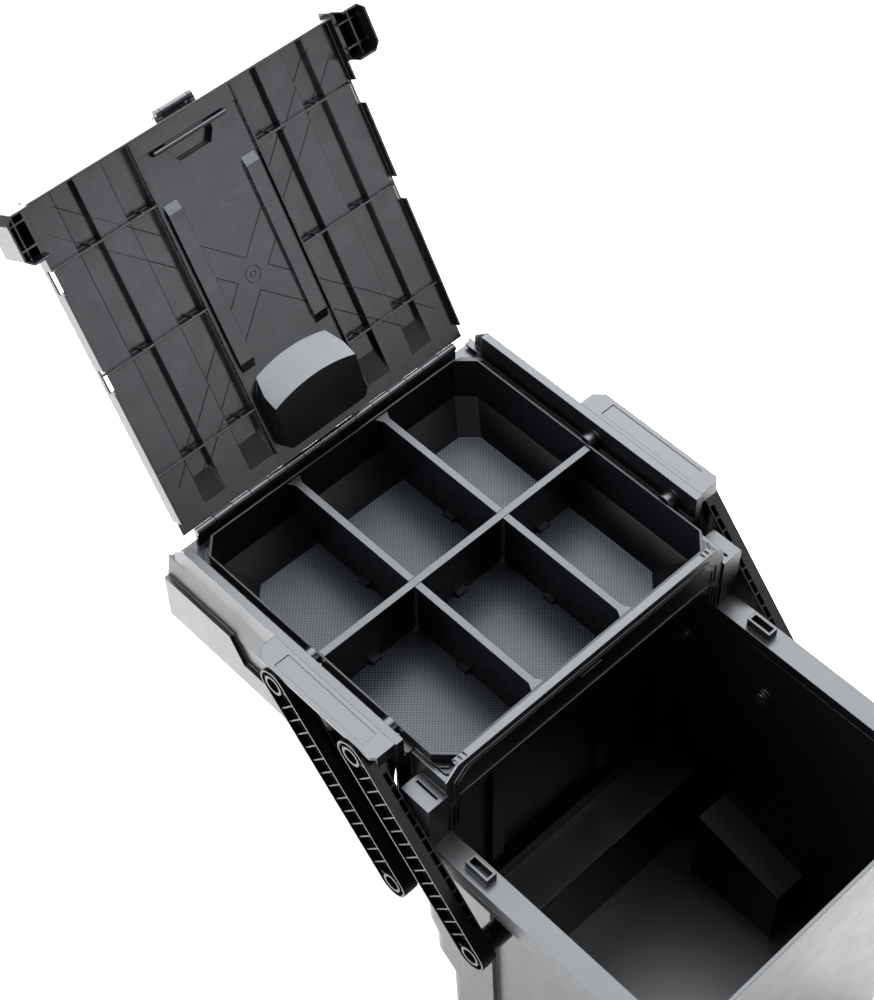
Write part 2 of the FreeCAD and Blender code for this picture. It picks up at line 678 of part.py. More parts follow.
def make_bin_shell():
    outside = bin_body("bin_outside", ZERO, s.floor_height)
    inside = bin_body("bin_inside", s.bin_wall, s.floor_height + s.bin_wall)
    far = s.bin_half_width + s.overrun
    step = box("bin_step", (-far, far), (step_front, rim_rear), (ZERO, step_top))
    kept = [step]
    for side in (LEFT, RIGHT):
        kept.append(pocket_block("bin_%s_pocket_wall" % side_name(side), side, s.bin_wall, far))
    cavity = cut("bin_cavity", inside, kept)
    walls = cut("bin_walls", outside, [cavity])

    added = [walls]
    ring = box("bin_flange_plate", (-rail_outer, rail_outer), (front, rim_rear),
               (flange_top - s.flange_plate, flange_top))
    skirt = box("bin_flange_skirt", (-rail_outer, rail_outer), (front, rim_rear),
                (flange_top - s.flange_skirt, flange_top))
    skirt_inside = rail_outer - s.rail_wall
    skirt_room = box("bin_flange_room", (-skirt_inside, skirt_inside),
                     (front + s.rail_wall, rim_rear - s.rail_wall), (ZERO, flange_top))
    added.append(cut("bin_flange_lip", skirt, [skirt_room]))
    mouth = box("bin_mouth", (-rail_inner, rail_inner),
                (front + s.bin_wall, rear_wall - s.bin_wall), (ZERO, flange_top + s.overrun))
    added.append(cut("bin_flange", ring, [mouth]))
    for side in (LEFT, RIGHT):
        inner_face = rear_wall - s.bin_wall / 2
        half_cover = s.tube_cover_width / 2
        middle = side * s.tube_spread
        stand = s.bin_wall / 2 + s.tube_cover_depth
        plan = [(middle - half_cover, inner_face), (middle + half_cover, inner_face),
                (middle + half_cover - s.tube_cover_depth, inner_face - stand),
                (middle - half_cover + s.tube_cover_depth, inner_face - stand)]
        added.append(prism("bin_%s_tube_cover" % side_name(side), "XY", plan, notch_top,
                           rail_top - s.tube_cover_drop))
    upstand_end = s.bin_half_width - s.upstand_side_gap
    upstand_low = flange_top - s.flange_plate
    upstand_top = rail_top + s.upstand_rise
    added.append(prism("bin_upstand", "XZ", [
        (-upstand_end, upstand_low), (upstand_end, upstand_low), (upstand_end, upstand_top - s.arch_corner),
        (upstand_end - s.arch_corner, upstand_top), (s.arch_corner - upstand_end, upstand_top),
        (-upstand_end, upstand_top - s.arch_corner)], front, front + s.upstand_wall))
    added.append(box("bin_front_beam", (-rail_inner, rail_inner), (front, front + 3 * s.upstand_wall),
                     (flange_top - s.flange_plate, rail_top - s.flange_plate)))
    added.append(box("bin_rear_beam", (-rail_inner, rail_inner), (rear_wall - s.bin_wall, rim_rear),
                     (flange_top - s.flange_plate, rail_top - s.flange_plate)))
    tools = []
    for side in (LEFT, RIGHT):
        word = side_name(side)
        for number, share in enumerate(PILLAR_SHARES):
            added.append(pillar("bin_%s_pillar_%d" % (word, number), side, front + share * s.bin_depth))
        outer_plate = wheel_inner - s.carrier_gap - s.carrier_wall
        for number, distance in enumerate((outer_plate, outer_plate - s.carrier_pitch)):
            added += carrier("bin_%s_carrier_%d" % (word, number), side, distance)
        for place, y in pivots:
            name = "bin_%s_%s_boss" % (word, place)
            near, far_x = span(side, s.bin_half_width - s.inner_boss_reach - s.bin_wall, boss_end)
            added.append(rod(name, "x", (near, y, lower_pivot_z), s.boss_radius, far_x - near))
            tools.append(rod(name + "_bore", "x", (near - s.overrun, y, lower_pivot_z),
                             s.pin_radius + s.running, far_x - near + 2 * s.overrun))
        tools.append(pocket_block("bin_%s_pocket" % word, side, ZERO, far))
    floor_top = s.floor_height + s.bin_wall
    groove_y = front + s.groove_back
    groove_end = s.bin_half_width - s.side_taper - s.bin_corner
    tools.append(box("bin_groove", (-groove_end, groove_end), (groove_y, groove_y + s.groove_width),
                     (floor_top - s.groove_depth, floor_top + s.overrun)))
    tools.append(rod("bin_axle_bore", "x", (-far, axle_y, s.wheel_radius), s.axle_radius + s.running,
                     2 * far))
    added[0] = cut("bin_walls_open", walls, under_step_rooms())
    node(cut("bin_shell_solid", fuse("bin_shell_whole", added), tools), "bin_shell")


def make_rail(side):
    """Hollow rail on the flange beside the bin's mouth, with a raised socket."""
    word = side_name(side)
    x = span(side, rail_inner, rail_outer)
    bar = box("rail_%s_bar" % word, x, (front, rim_rear), (flange_top, rail_top))
    x_room = span(side, rail_inner + s.rail_wall, rail_outer - s.rail_wall)
    room = box("rail_%s_room" % word, x_room, (front + s.rail_wall, rim_rear - s.rail_wall),
               (flange_top - s.overrun, rail_top - s.rail_wall))
    socket_y = front + s.socket_back
    outer = rail_outer - s.socket_inset
    inner = outer - s.socket_width
    socket = box("rail_%s_socket" % word, span(side, inner, outer), (socket_y, socket_y + s.socket_length),
                 (rail_top - s.rail_wall, rail_top + s.socket_rise))
    hole = box("rail_%s_socket_hole" % word, span(side, inner + s.socket_wall, outer - s.socket_wall),
               (socket_y + s.socket_wall, socket_y + s.socket_length - s.socket_wall),
               (rail_top, rail_top + s.socket_rise + s.overrun))
    whole = fuse("rail_%s_whole" % word, [cut("rail_%s_hollow" % word, bar, [room]), socket])
    node(cut("rail_%s_solid" % word, whole, [hole]), "%s_rail" % word)


# Axle, wheels and foot

def make_axle():
    reach = wheel_outer + s.axle_end
    node(rod("axle_bar", "x", (-reach, axle_y, s.wheel_radius), s.axle_radius, 2 * reach), "axle")
    caps = []
    for side in (LEFT, RIGHT):
        word = side_name(side)
        near, far = span(side, wheel_outer + s.clearance, reach + s.cap_wall)
        cap = rod("cap_" + word, "x", (near, axle_y, s.wheel_radius), s.cap_radius, far - near)
        near, far = span(side, wheel_outer - s.overrun, reach)
        seat = rod("cap_%s_seat" % word, "x", (near, axle_y, s.wheel_radius), s.axle_radius, far - near)
        caps.append(cut("cap_%s_cup" % word, cap, [seat]))
    node(group("axle_cap_pair", caps), "axle_caps")
    spacers = []
    for side in (LEFT, RIGHT):
        word = side_name(side)
        near, far = span(side, wheel_inner - s.carrier_gap + s.clearance, wheel_inner - s.clearance)
        spacer = rod("spacer_" + word, "x", (near, axle_y, s.wheel_radius), s.spacer_radius, far - near)
        near, far = span(side, wheel_inner - s.carrier_gap - s.overrun, wheel_inner + s.overrun)
        bore = rod("spacer_%s_bore" % word, "x", (near, axle_y, s.wheel_radius), s.axle_radius + s.running,
                   far - near)
        spacers.append(cut("spacer_%s_ring" % word, spacer, [bore]))
    node(group("spacer_pair", spacers), "axle_spacers")


def turned(name, points):
    """A body turned about the X axis; points are (along the axis, distance from it)."""
    body = doc.addObject("PartDesign::Body", name)
    sketch = outline_sketch(body, name + "_outline", "XZ", points, ZERO)
    feature = body.newObject("PartDesign::Revolution", name + "_turn")
    feature.Profile = sketch
    feature.ReferenceAxis = (sketch, ["H_Axis"])
    feature.Angle = 360
    return body


def make_wheel(side):
    word = side_name(side)
    half = s.wheel_width / 2
    rim = s.wheel_radius - s.tyre_depth
    shoulder = s.tyre_depth * TYRE_SHOULDER_SHARE
    tyre = turned("tyre_" + word, [
        (-half, rim), (half, rim), (half, s.wheel_radius - shoulder), (half - shoulder, s.wheel_radius),
        (shoulder - half, s.wheel_radius), (-half, s.wheel_radius - shoulder)])
    bore = s.axle_radius + s.running
    web = s.wheel_web / 2
    inside = rim - s.rim_wall
    lip = s.wheel_width / 2 - s.clearance
    hub = turned("hub_" + word, [
        (-half, bore), (half, bore), (half, s.hub_radius), (web, s.hub_radius), (web, inside),
        (lip, inside), (lip, rim), (-lip, rim), (-lip, inside), (-web, inside), (-web, s.hub_radius),
        (-half, s.hub_radius)])
    sketch = outline_sketch(hub, "hub_%s_spoke_outline" % word, "YZ", rectangle(
        (-s.spoke_wall / 2, s.spoke_wall / 2), (s.hub_radius - s.spoke_wall / 2, inside + s.rim_wall / 2)),
        -(lip - s.rim_wall))
    spoke = pad(hub, "hub_%s_spoke" % word, sketch, 2 * (lip - s.rim_wall))
    pattern = hub.newObject("PartDesign::PolarPattern", "hub_%s_spokes" % word)
    pattern.Originals = [spoke]
    pattern.Axis = (origin_plane(hub, "X_Axis"), [""])
    pattern.Angle = 360
    pattern.Occurrences = SPOKES
    hub.Tip = pattern
    centre = side * (wheel_inner + half)
    for body in (tyre, hub):
        bind(body, "Placement.Base.x", centre)
        bind(body, "Placement.Base.y", axle_y)
        bind(body, "Placement.Base.z", s.wheel_radius)
    node(tyre, "%s_tyre" % word)
    node(hub, "%s_hub" % word)


def make_foot():
    wide = s.foot_half_width
    deep = s.foot_half_depth
    flare = s.foot_flare
    across = [(flare - wide, s.strip_rise), (wide - flare, s.strip_rise), (wide, s.floor_height),
              (-wide, s.floor_height)]
    along = [(flare - deep, s.strip_rise), (deep - flare, s.strip_rise), (deep, s.floor_height),
             (-deep, s.floor_height)]
    block = tapered("foot_block", across, along, (-wide, wide), (-deep, deep))
    node(soften(block, flare, upright), "front_foot")
    margin = s.strip_margin
    strip = prism("foot_pad", "XY", rectangle((margin - wide, wide - margin), (margin - deep, deep - margin)),
                  ZERO, s.strip_rise)
    node(soften(strip, s.strip_rise, upright), "foot_strip")


# Pull handle

grip_top = rail_top - s.grip_drop
grip_low = grip_top - s.grip_rise
housing_top = grip_low - s.housing_margin
housing_low = notch_top + s.housing_gap
tube_y = rim_rear + s.pull_gap + s.grip_depth / 2
middle_radius = s.tube_radius - s.tube_wall - s.tube_play
inner_radius = middle_radius - s.tube_wall - s.tube_play
tube_foot = housing_low + s.housing_wall


def tube_pair(name, radius, wall, low, high):
    """Two upright tubes, closed at the foot only where a wall is left there."""
    tubes = []
    for side in (LEFT, RIGHT):
        word = side_name(side)
        place = (side * s.tube_spread, tube_y, low)
        solid = rod("%s_%s" % (name, word), "z", place, radius, high - low)
        place = (side * s.tube_spread, tube_y, low - s.overrun)
        bore = rod("%s_%s_bore" % (name, word), "z", place, radius - wall, high - low + 2 * s.overrun)
        tubes.append(cut("%s_%s_tube" % (name, word), solid, [bore]))
    return tubes


def make_housing():
    wide = s.housing_half_width
    back = rear_wall + s.housing_depth
    plan = rectangle((-wide, wide), (rear_wall, back))
    cover = prism("housing_cover", "XY", plan, housing_low, housing_top)
    soften(cover, s.housing_corner,
           lambda edge: upright(edge) and edge.CenterOfMass.y > (rear_wall + s.housing_wall).value)
    room_wide = wide - s.housing_wall
    room = prism("housing_room", "XY", rectangle((-room_wide, room_wide),
                                                 (rear_wall - s.overrun, back - s.housing_wall)),
                 housing_low + s.housing_wall, housing_top - s.housing_wall)
    soften(room, s.housing_corner - s.housing_wall,
           lambda edge: upright(edge) and edge.CenterOfMass.y > (rear_wall + s.housing_wall).value)
    holes = [room]
    for side in (LEFT, RIGHT):
        holes.append(rod("housing_%s_hole" % side_name(side), "z",
                         (side * s.tube_spread, tube_y, housing_top - s.housing_wall - s.overrun),
                         s.tube_radius, s.housing_wall + 2 * s.overrun))
    ledge = rear_wall + s.rear_ledge + s.clearance
    holes.append(box("housing_ledge_room", (-wide - s.overrun, wide + s.overrun),
                     (rear_wall - s.overrun, ledge), (flange_top - s.flange_skirt - s.clearance, rail_top)))
    screws = []
    reach = s.housing_depth
    for side in (LEFT, RIGHT):
        x = side * wide * SCREW_SPREAD_SHARE
        for number, share in enumerate(SCREW_SHARES):
            name = "screw_%s_%d" % (side_name(side), number)
            z = housing_low + share * (housing_top - housing_low)
            head = rod(name + "_head", "y", (x, back, z), s.screw_head, s.screw_head_rise)
            shank = rod(name + "_shank", "y", (x, back - reach, z), s.screw_radius, reach)
            screws.append(fuse(name, [head, shank]))
            holes.append(rod(name + "_hole", "y", (x, back - reach, z), s.screw_radius + s.running,
                             reach + s.overrun))
    node(cut("housing_solid", cover, holes), "handle_housing")
    node(group("screw_set", screws), "housing_screws")


def make_tubes():
    sleeves = tube_pair("sleeve", s.tube_radius, s.tube_wall, tube_foot, housing_top)
    node(group("sleeve_pair", sleeves), "handle_sleeves")
    middle = tube_pair("middle", middle_radius, s.tube_wall, tube_foot, housing_top)
    node(group("middle_pair", middle), "handle_middle_tubes")
    inner = []
    for side in (LEFT, RIGHT):
        place = (side * s.tube_spread, tube_y, tube_foot)
        inner.append(rod("inner_" + side_name(side), "z", place, inner_radius, grip_low - tube_foot))
    node(group("inner_pair", inner), "handle_inner_tubes")


def make_grip():
    wide = s.grip_half_width
    low_y = tube_y - s.grip_depth / 2
    high_y = low_y + s.grip_depth
    points = rectangle((low_y, high_y), (grip_low, grip_top))
    bar = prism("grip_bar", "YZ", points, -wide, wide)
    soften(bar, s.grip_corner, lambda edge: abs(edge.tangentAt(edge.FirstParameter).x) > math.cos(1))
    deep = s.button_depth / 2
    half = s.button_half_width
    well = s.button_travel + s.button_rise
    seat = box("grip_seat", (-half - s.clearance, half + s.clearance),
               (tube_y - deep - s.clearance, tube_y + deep + s.clearance),
               (grip_top - 2 * well, grip_top + s.overrun))
    node(cut("grip_solid", bar, [seat]), "handle_grip")
    button = prism("button_block", "XY", rectangle((-half, half), (tube_y - deep, tube_y + deep)),
                   grip_top - well, grip_top + s.button_rise)
    node(soften(button, s.button_rise, upright), "handle_button")


# Arms and their pins

def ring_bridges(label, z, x):
    """Four short ribs from the ring round a pivot to the arm's rounded end, on the diagonals."""
    reach = (s.arm_half_width - s.arm_wall / 2) * DIAGONAL_SHARE
    half = s.arm_rib * DIAGONAL_SHARE / 2
    return [prism("%s_bridge_%d" % (label, number), "YZ", [
        (turn * (half - reach), z - reach - half), (turn * (reach + half), z + reach - half),
        (turn * (reach - half), z + reach + half), (turn * (-half - reach), z - reach + half)], *x)
        for number, turn in enumerate((LEFT, RIGHT))]


def make_arm(side, place, y):
    """A channel-section arm with cross ribs; it is drawn upright from its lower pivot and leans back."""
    name = "arm_%s_%s" % (side_name(side), place)
    half = s.arm_half_width
    inner = s.arm_offset
    web_end = inner + s.arm_web

    def slab(label, radius, near, far):
        x = span(side, near, far)
        middle = box(label + "_middle", x, (-radius, radius), (ZERO, s.arm_length))
        ends = [rod("%s_end_%d" % (label, number), "x", (x[0], ZERO, z), radius, far - near)
                for number, z in enumerate((ZERO, s.arm_length))]
        return fuse(label, [middle] + ends)

    blank = slab(name + "_blank", half, inner, arm_outer)
    hollow = slab(name + "_hollow", half - s.arm_wall, web_end, arm_outer + s.overrun)
    added = [cut(name + "_channel", blank, [hollow])]
    x_rib = span(side, inner + s.arm_web / 2, arm_outer - s.arm_wall / 2)
    reach = half - s.arm_wall / 2
    first = s.arm_rib_end - s.arm_rib / 2
    pitch = (s.arm_length - 2 * s.arm_rib_end) / (ARM_RIBS - 1)
    drop = s.arm_rib_slant / 2
    x_slot = span(side, inner + s.arm_slot_inset, inner + s.arm_slot_inset + s.arm_slot_width)
    bores = []
    for number in range(ARM_RIBS):
        z = first + number * pitch
        top = z + s.arm_rib
        points = [(-reach, z + drop), (reach, z - drop), (reach, top - drop), (-reach, top + drop)]
        added.append(prism("%s_rib_%d" % (name, number), "YZ", points, *x_rib))
    for number in range(ARM_RIBS - 1):
        z = first + number * pitch + s.arm_rib
        bores.append(box("%s_slot_%d" % (name, number), x_slot, (-half - s.overrun, s.arm_slot_depth - half),
                         (z, z + pitch - s.arm_rib)))
    for number, z in enumerate((ZERO, s.arm_length)):
        x = span(side, inner, arm_outer)
        thickness = arm_outer - inner
        label = "%s_pivot_%d" % (name, number)
        x_open = span(side, web_end, arm_outer + s.overrun)
        clear = rod(label + "_room", "x", (x_open[0], ZERO, z), s.arm_ring, x_open[1] - x_open[0])
        ring = rod(label + "_ring", "x", (x[0], ZERO, z), s.arm_ring, thickness)
        added[0] = cut(label + "_cleared", added[0], [clear])
        added.append(ring)
        added += ring_bridges(label, z, span(side, web_end - s.arm_rib, arm_outer - s.arm_rib))
        seat = span(side, arm_outer - s.pin_sink - s.pin_head_rise, arm_outer + s.overrun)
        bores.append(rod(label + "_seat", "x", (seat[0], ZERO, z), s.pin_head_radius + s.clearance,
                         seat[1] - seat[0]))
        bores.append(rod(label + "_bore", "x", (x[0] - s.overrun, ZERO, z), s.pin_radius + s.running,
                         thickness + 2 * s.overrun))
    arm = cut(name + "_solid", fuse(name + "_whole", added), bores)
    lean_back(arm, s.arm_lean, y, lower_pivot_z)
    node(arm, "%s_%s_arm" % (side_name(side), place))


def pin(name, side, inner_end, y, z):
    """A pivot pin with a head inside and one outside, sunk in the arm's ring."""
    outer_end = arm_outer - s.pin_sink
    near, far = span(side, inner_end, outer_end)
    shank = rod(name + "_shank", "x", (near, y, z), s.pin_radius, far - near)
    near, far = span(side, inner_end - s.pin_head_rise, inner_end)
    inner_head = rod(name + "_inner_head", "x", (near, y, z), s.pin_head_radius, far - near)
    near, far = span(side, outer_end - s.pin_head_rise + s.clearance, outer_end)
    outer_head = rod(name + "_outer_head", "x", (near, y, z), s.pin_head_radius, far - near)
    return fuse(name, [shank, inner_head, outer_head])


def make_pins():
    lower = []
    upper = []
    lower_end = s.bin_half_width - s.inner_boss_reach - s.bin_wall
    upper_end = rim_inner - s.moat_width / 2
    for side in (LEFT, RIGHT):
        for place, y in pivots:
            name = "%s_%s" % (side_name(side), place)
            lower.append(pin("lower_pin_" + name, side, lower_end, y, lower_pivot_z))
            upper.append(pin("upper_pin_" + name, side, upper_end, y + swing, upper_pivot_z))
    node(group("lower_pins", lower), "lower_pivot_pins")
    node(group("upper_pins", upper), "upper_pivot_pins")


# Tray

def tub_inset(depth):
    """How far the tub's upright walls have leaned in at a depth above the knee."""
    return s.knee_inset * depth / s.knee_depth


def tub_section(depth, side_inset, end_inset, wall):
    corner = s.tub_chamfer
    half_width = s.tub_half_width - side_inset + wall
    return rim_z - depth, cut_corner_rectangle(
        half_width, tub_front + end_inset - wall, tub_rear - end_inset + wall, corner)


def tub_form(name, wall, floor):
    """The tub's inner form, or its outer one where a wall is added round it."""
    return loft(name, [
        tub_section(s.tub_depth + floor, s.floor_side_inset, s.floor_end_inset, wall),
        tub_section(s.knee_depth, s.knee_inset, s.knee_inset, wall),
        tub_section(ZERO, ZERO, ZERO, wall)])


def make_tub():
    outside = tub_form("tub_outside", s.tub_wall, s.tub_wall)
    inside = tub_form("tub_inside", ZERO, ZERO)
    flange_half = rim_inner - s.clearance
    flange = prism("tub_flange", "XY", cut_corner_rectangle(
        flange_half, tray_front + s.frame_wall + s.clearance, hinge_y - s.knuckle_radius - s.clearance,
        s.tub_chamfer), ledge_top - s.tub_wall, ledge_top)
    strip = prism("tub_strip", "XY", cut_corner_rectangle(
        flange_half - s.tub_wall, tub_front - s.tub_wall, tub_rear + s.tub_wall, s.tub_chamfer),
        ledge_top, ledge_top + s.tub_wall)
    strip_room = prism("tub_strip_room", "XY", cut_corner_rectangle(
        flange_half - 2 * s.tub_wall, tub_front - s.overrun, tub_rear + s.overrun, s.tub_chamfer),
        ledge_top - s.overrun, ledge_top + s.tub_wall + s.overrun)
    tools = [inside]
    for side in (LEFT, RIGHT):
        for place, y in pivots:
            name = "tub_%s_%s_notch" % (side_name(side), place)
            reach = s.barrel_radius + s.clearance
            centre = y + swing
            tools.append(box(name, span(side, s.tub_half_width + s.tub_wall + s.clearance, rim_outer),
                             (centre - reach, centre + reach), (ledge_top - 2 * s.tub_wall, rim_z)))
        tools.append(box("tub_%s_corner" % side_name(side), span(side, corner_half - s.clearance, rim_outer),
                         (tray_front, rim_front - s.frame_wall),
                         (ledge_top - 2 * s.tub_wall, ledge_top + 2 * s.tub_wall)))
    strip_ring = cut("tub_strip_ring", strip, [strip_room])
    node(cut("tub_solid", fuse("tub_whole", [outside, flange, strip_ring]), tools), "tray_tub")


def divider_heights():
    top = rim_z - s.divider_drop
    return top, top - s.divider_cap_rise, rim_z - s.knee_depth, rim_z - s.tub_depth


divider_y = tub_front + s.tub_length * DIVIDER_SHARE


def make_long_divider():
    """The wall across the tub, which follows the tub's sloping sides."""
    top, cap_low, knee, floor = divider_heights()
    gap = s.clearance
    wide = s.tub_half_width - tub_inset(s.divider_drop + s.divider_cap_rise) - gap
    knee_x = s.tub_half_width - s.knee_inset - gap
    foot_x = s.tub_half_width - s.floor_side_inset - gap
    points = [(-foot_x, floor), (foot_x, floor), (knee_x, knee), (wide, cap_low), (-wide, cap_low),
              (-knee_x, knee)]
    half = s.divider_wall / 2
    plate = prism("divider_plate", "XZ", points, divider_y - half, divider_y + half)
    cap_half = s.divider_cap / 2
    cap = box("divider_cap_bar", (-wide, wide), (divider_y - cap_half, divider_y + cap_half), (cap_low, top))
    feet = []
    foot_half = half + s.divider_foot_reach
    for number, share in enumerate(CLIP_SPREAD_SHARES):
        x = s.divider_spread * share
        feet.append(box("divider_clip_%d" % number,
                        (x - s.divider_foot_width / 2, x + s.divider_foot_width / 2),
                        (divider_y - foot_half, divider_y + foot_half), (floor, floor + s.divider_foot_rise)))
    node(fuse("divider_whole", [plate, cap] + feet), "long_divider")


def make_cross_divider(side, end):
    """A wall from the long divider to the tub's front or rear wall."""
    top, cap_low, knee, floor = divider_heights()
    word = "%s_%s" % (end, side_name(side))
    sign = -1 if end == "front" else 1
    mouth = tub_front if end == "front" else tub_rear
    gap = s.clearance

    def wall_y(inset):
        return mouth - sign * (inset + gap)

    cap_half = s.divider_cap / 2
    near = divider_y + sign * (cap_half + gap)
    points = [(near, floor), (wall_y(s.floor_end_inset), floor), (wall_y(s.knee_inset), knee),
              (wall_y(tub_inset(s.divider_drop + s.divider_cap_rise)), cap_low), (near, cap_low)]
    half = s.divider_wall / 2
    x = side * s.divider_spread
    plate = prism("cross_%s_plate" % word, "YZ", points, x - half, x + half)
    far = wall_y(tub_inset(s.divider_drop + s.divider_cap_rise))
    low_y, high_y = (far, near) if sign < 0 else (near, far)
    cap = box("cross_%s_cap" % word, (x - cap_half, x + cap_half), (low_y, high_y), (cap_low, top))
    flare = s.divider_flare / 2
    start = far - sign * s.divider_cap
    tip = [(x - cap_half, start), (x + cap_half, start), (x + flare, far), (x - flare, far)]
    end_cap = prism("cross_%s_flare" % word, "XY", tip, cap_low, top)
    middle = (near + wall_y(s.floor_end_inset)) / 2
    clip = box("cross_%s_clip" % word, (x - half - s.divider_foot_reach, x + half + s.divider_foot_reach),
               (middle - s.divider_foot_width / 2, middle + s.divider_foot_width / 2),
               (floor, floor + s.divider_foot_rise))
    node(fuse("cross_%s_whole" % word, [plate, cap, end_cap, clip]), "%s_divider" % word)


def frame_side(side):
    """One long side of the frame: raised rim, side wall, belt, corner block and pivot barrels."""
    word = side_name(side)
    name = "frame_%s_" % word
    wall = s.frame_wall
    flare_top = frame_top - s.flare_drop
    flare_low = flare_top - s.flare_depth
    rim_back = tray_rear - s.rim_rear_gap
    low_belt_top = tray_bottom + s.low_belt_rise
    belt_top = tray_bottom + s.belt_rise

    def profile(points):
        return [(side * x, z) for x, z in points]

    rim = prism(name + "rim", "XZ", profile([
        (rim_inner, frame_top), (rim_outer, frame_top), (rim_outer, flare_top), (flare_outer, flare_low),
        (flare_outer, low_belt_top - wall), (flare_outer - wall, low_belt_top - wall),
        (flare_outer - wall, flare_low), (rim_outer - wall, flare_top), (rim_outer - wall, frame_top - wall),
        (rim_inner + wall, frame_top - wall), (rim_inner + wall, ledge_top - 2 * s.tub_wall),
        (rim_inner, ledge_top - 2 * s.tub_wall)]), rim_front, rim_back)
    ramp_top = rim_z + wall
    ramp = prism(name + "ramp", "YZ", [
        (rim_back, frame_top), (rim_back + s.rim_ramp, ramp_top), (rim_back + s.rim_ramp, ledge_top),
        (rim_back, ledge_top)], *span(side, rim_outer - wall, rim_outer))
    corner = box(name + "rear_corner", span(side, rim_inner, rim_outer),
                 (rim_back - wall, tray_rear - wall), (ledge_top - wall, ledge_top))
    tail_top = rim_outer + s.flare_reach * (flare_top - ledge_top) / s.flare_depth
    tail = prism(name + "tail", "XZ", profile([
        (tail_top, ledge_top), (flare_outer, flare_low), (flare_outer, low_belt_top - wall),
        (flare_outer - wall, low_belt_top - wall), (flare_outer - wall, flare_low),
        (tail_top - wall, ledge_top)]), rim_back - wall, tray_rear)
    high_front = tray_rear - s.high_belt_length
    low_back = high_front - s.belt_slope
    belt = prism(name + "belt", "YZ", [
        (rim_front, tray_bottom), (tray_rear, tray_bottom), (tray_rear, belt_top), (high_front, belt_top),
        (low_back, low_belt_top), (rim_front, low_belt_top)], *span(side, belt_outer - wall, belt_outer))
    ledge_high = box(name + "belt_ledge", span(side, flare_outer - wall, belt_outer),
                     (high_front, tray_rear), (belt_top - wall, belt_top))
    ledge_low = box(name + "low_ledge", span(side, flare_outer - wall, belt_outer),
                    (rim_front, low_back), (low_belt_top - wall, low_belt_top))
    slope = prism(name + "belt_slope", "YZ", [
        (low_back, low_belt_top - wall), (high_front, belt_top - wall), (high_front, belt_top),
        (low_back, low_belt_top)], *span(side, flare_outer - wall, belt_outer))
    seat_top = ledge_top - s.tub_wall
    end_y = (rim_front - wall, rim_front)
    end_wall = box(name + "end_wall", span(side, s.leg_offset - wall, rim_outer), end_y,
                   (tray_bottom, seat_top))
    end_high = box(name + "end_high", span(side, rim_inner, rim_outer), end_y, (tray_bottom, frame_top))
    end_low = box(name + "end_low", span(side, rim_outer - wall, belt_outer), end_y,
                  (tray_bottom, low_belt_top))
    cheek = box(name + "cheek", span(side, s.leg_offset - wall, s.leg_offset),
                (tray_front + wall, rim_front), (tray_bottom, seat_top))
    leg = box(name + "leg", span(side, s.leg_offset - s.leg_width, s.leg_offset),
              (tray_front, tray_front + s.leg_depth), (tray_bottom, tray_bottom + s.arch_rise))
    leg_room = box(name + "leg_room", span(side, s.leg_offset - s.leg_width + wall, s.leg_offset - wall),
                   (tray_front + wall, tray_front + s.leg_depth - wall),
                   (tray_bottom - s.overrun, tray_bottom + s.arch_rise - wall))
    block_top = rim_z - s.block_drop
    block = box(name + "block", span(side, s.leg_offset, s.leg_offset + s.block_reach),
                (tray_front - wall, tray_front - wall + s.block_length), (tray_bottom, block_top))
    block_room = box(name + "block_room",
                     span(side, s.leg_offset + wall, s.leg_offset + s.block_reach - wall),
                     (tray_front, tray_front - 2 * wall + s.block_length),
                     (tray_bottom - s.overrun, block_top - s.block_slot_depth - wall))
    slot_x = s.leg_offset + s.block_reach * BLOCK_SLOT_SHARE
    slot = box(name + "block_slot", span(side, slot_x, slot_x + s.block_slot_width),
               (tray_front + wall, tray_front - 3 * wall + s.block_length),
               (block_top - s.block_slot_depth, block_top + s.overrun))
    seat = box(name + "seat", span(side, s.leg_offset - wall, rim_inner + wall),
               (rim_front - wall, tray_rear - s.rim_rear_gap), (seat_top - s.tub_wall, seat_top))
    front_seat = box(name + "front_seat", span(side, corner_half, s.leg_offset),
                     (tray_front + wall, rim_front), (seat_top - s.tub_wall, seat_top))
    pieces = [rim, ramp, corner, tail, belt, ledge_high, ledge_low, slope, end_wall, end_high, end_low,
              cheek, seat, front_seat, cut(name + "hollow_leg", leg, [leg_room]),
              cut(name + "hollow_block", block, [block_room, slot])]
    bores = []
    for place, y in pivots:
        near, far = span(side, s.tub_half_width + s.tub_wall + 2 * s.clearance, boss_end)
        pieces.append(rod(name + place + "_barrel", "x", (near, y + swing, upper_pivot_z), s.barrel_radius,
                          far - near))
        near, far = span(side, s.tub_half_width, rim_inner - s.moat_width / 2)
        bores.append(rod(name + place + "_head_room", "x", (near, y + swing, upper_pivot_z),
                         s.pin_head_radius + s.running, far - near))
        near, far = span(side, s.tub_half_width, boss_end + s.overrun)
        bores.append(rod(name + place + "_bore", "x", (near, y + swing, upper_pivot_z),
                         s.pin_radius + s.running, far - near))
    return pieces, bores


def arch(name, half_width, top, inset, corner, low_y, high_y):
    """The front band: an arch about the front opening, from its inside to its outside."""
    opening_half = s.leg_offset - s.leg_width
    opening_top = rail_top + s.arch_rise
    outer = prism(name + "_outer", "XZ", [
        (-half_width, tray_bottom), (half_width, tray_bottom), (half_width, top - corner),
        (half_width - corner, top), (corner - half_width, top), (-half_width, top - corner)], low_y, high_y)
    inner_half = opening_half + inset
    inner_top = opening_top + inset
    cut_off = s.arch_corner
    low = tray_bottom - s.overrun
    room = prism(name + "_room", "XZ", [
        (-inner_half, low), (inner_half, low), (inner_half, inner_top - cut_off),
        (inner_half - cut_off, inner_top), (cut_off - inner_half, inner_top),
        (-inner_half, inner_top - cut_off)], low_y - s.overrun, high_y + s.overrun)
    return cut(name, outer, [room])


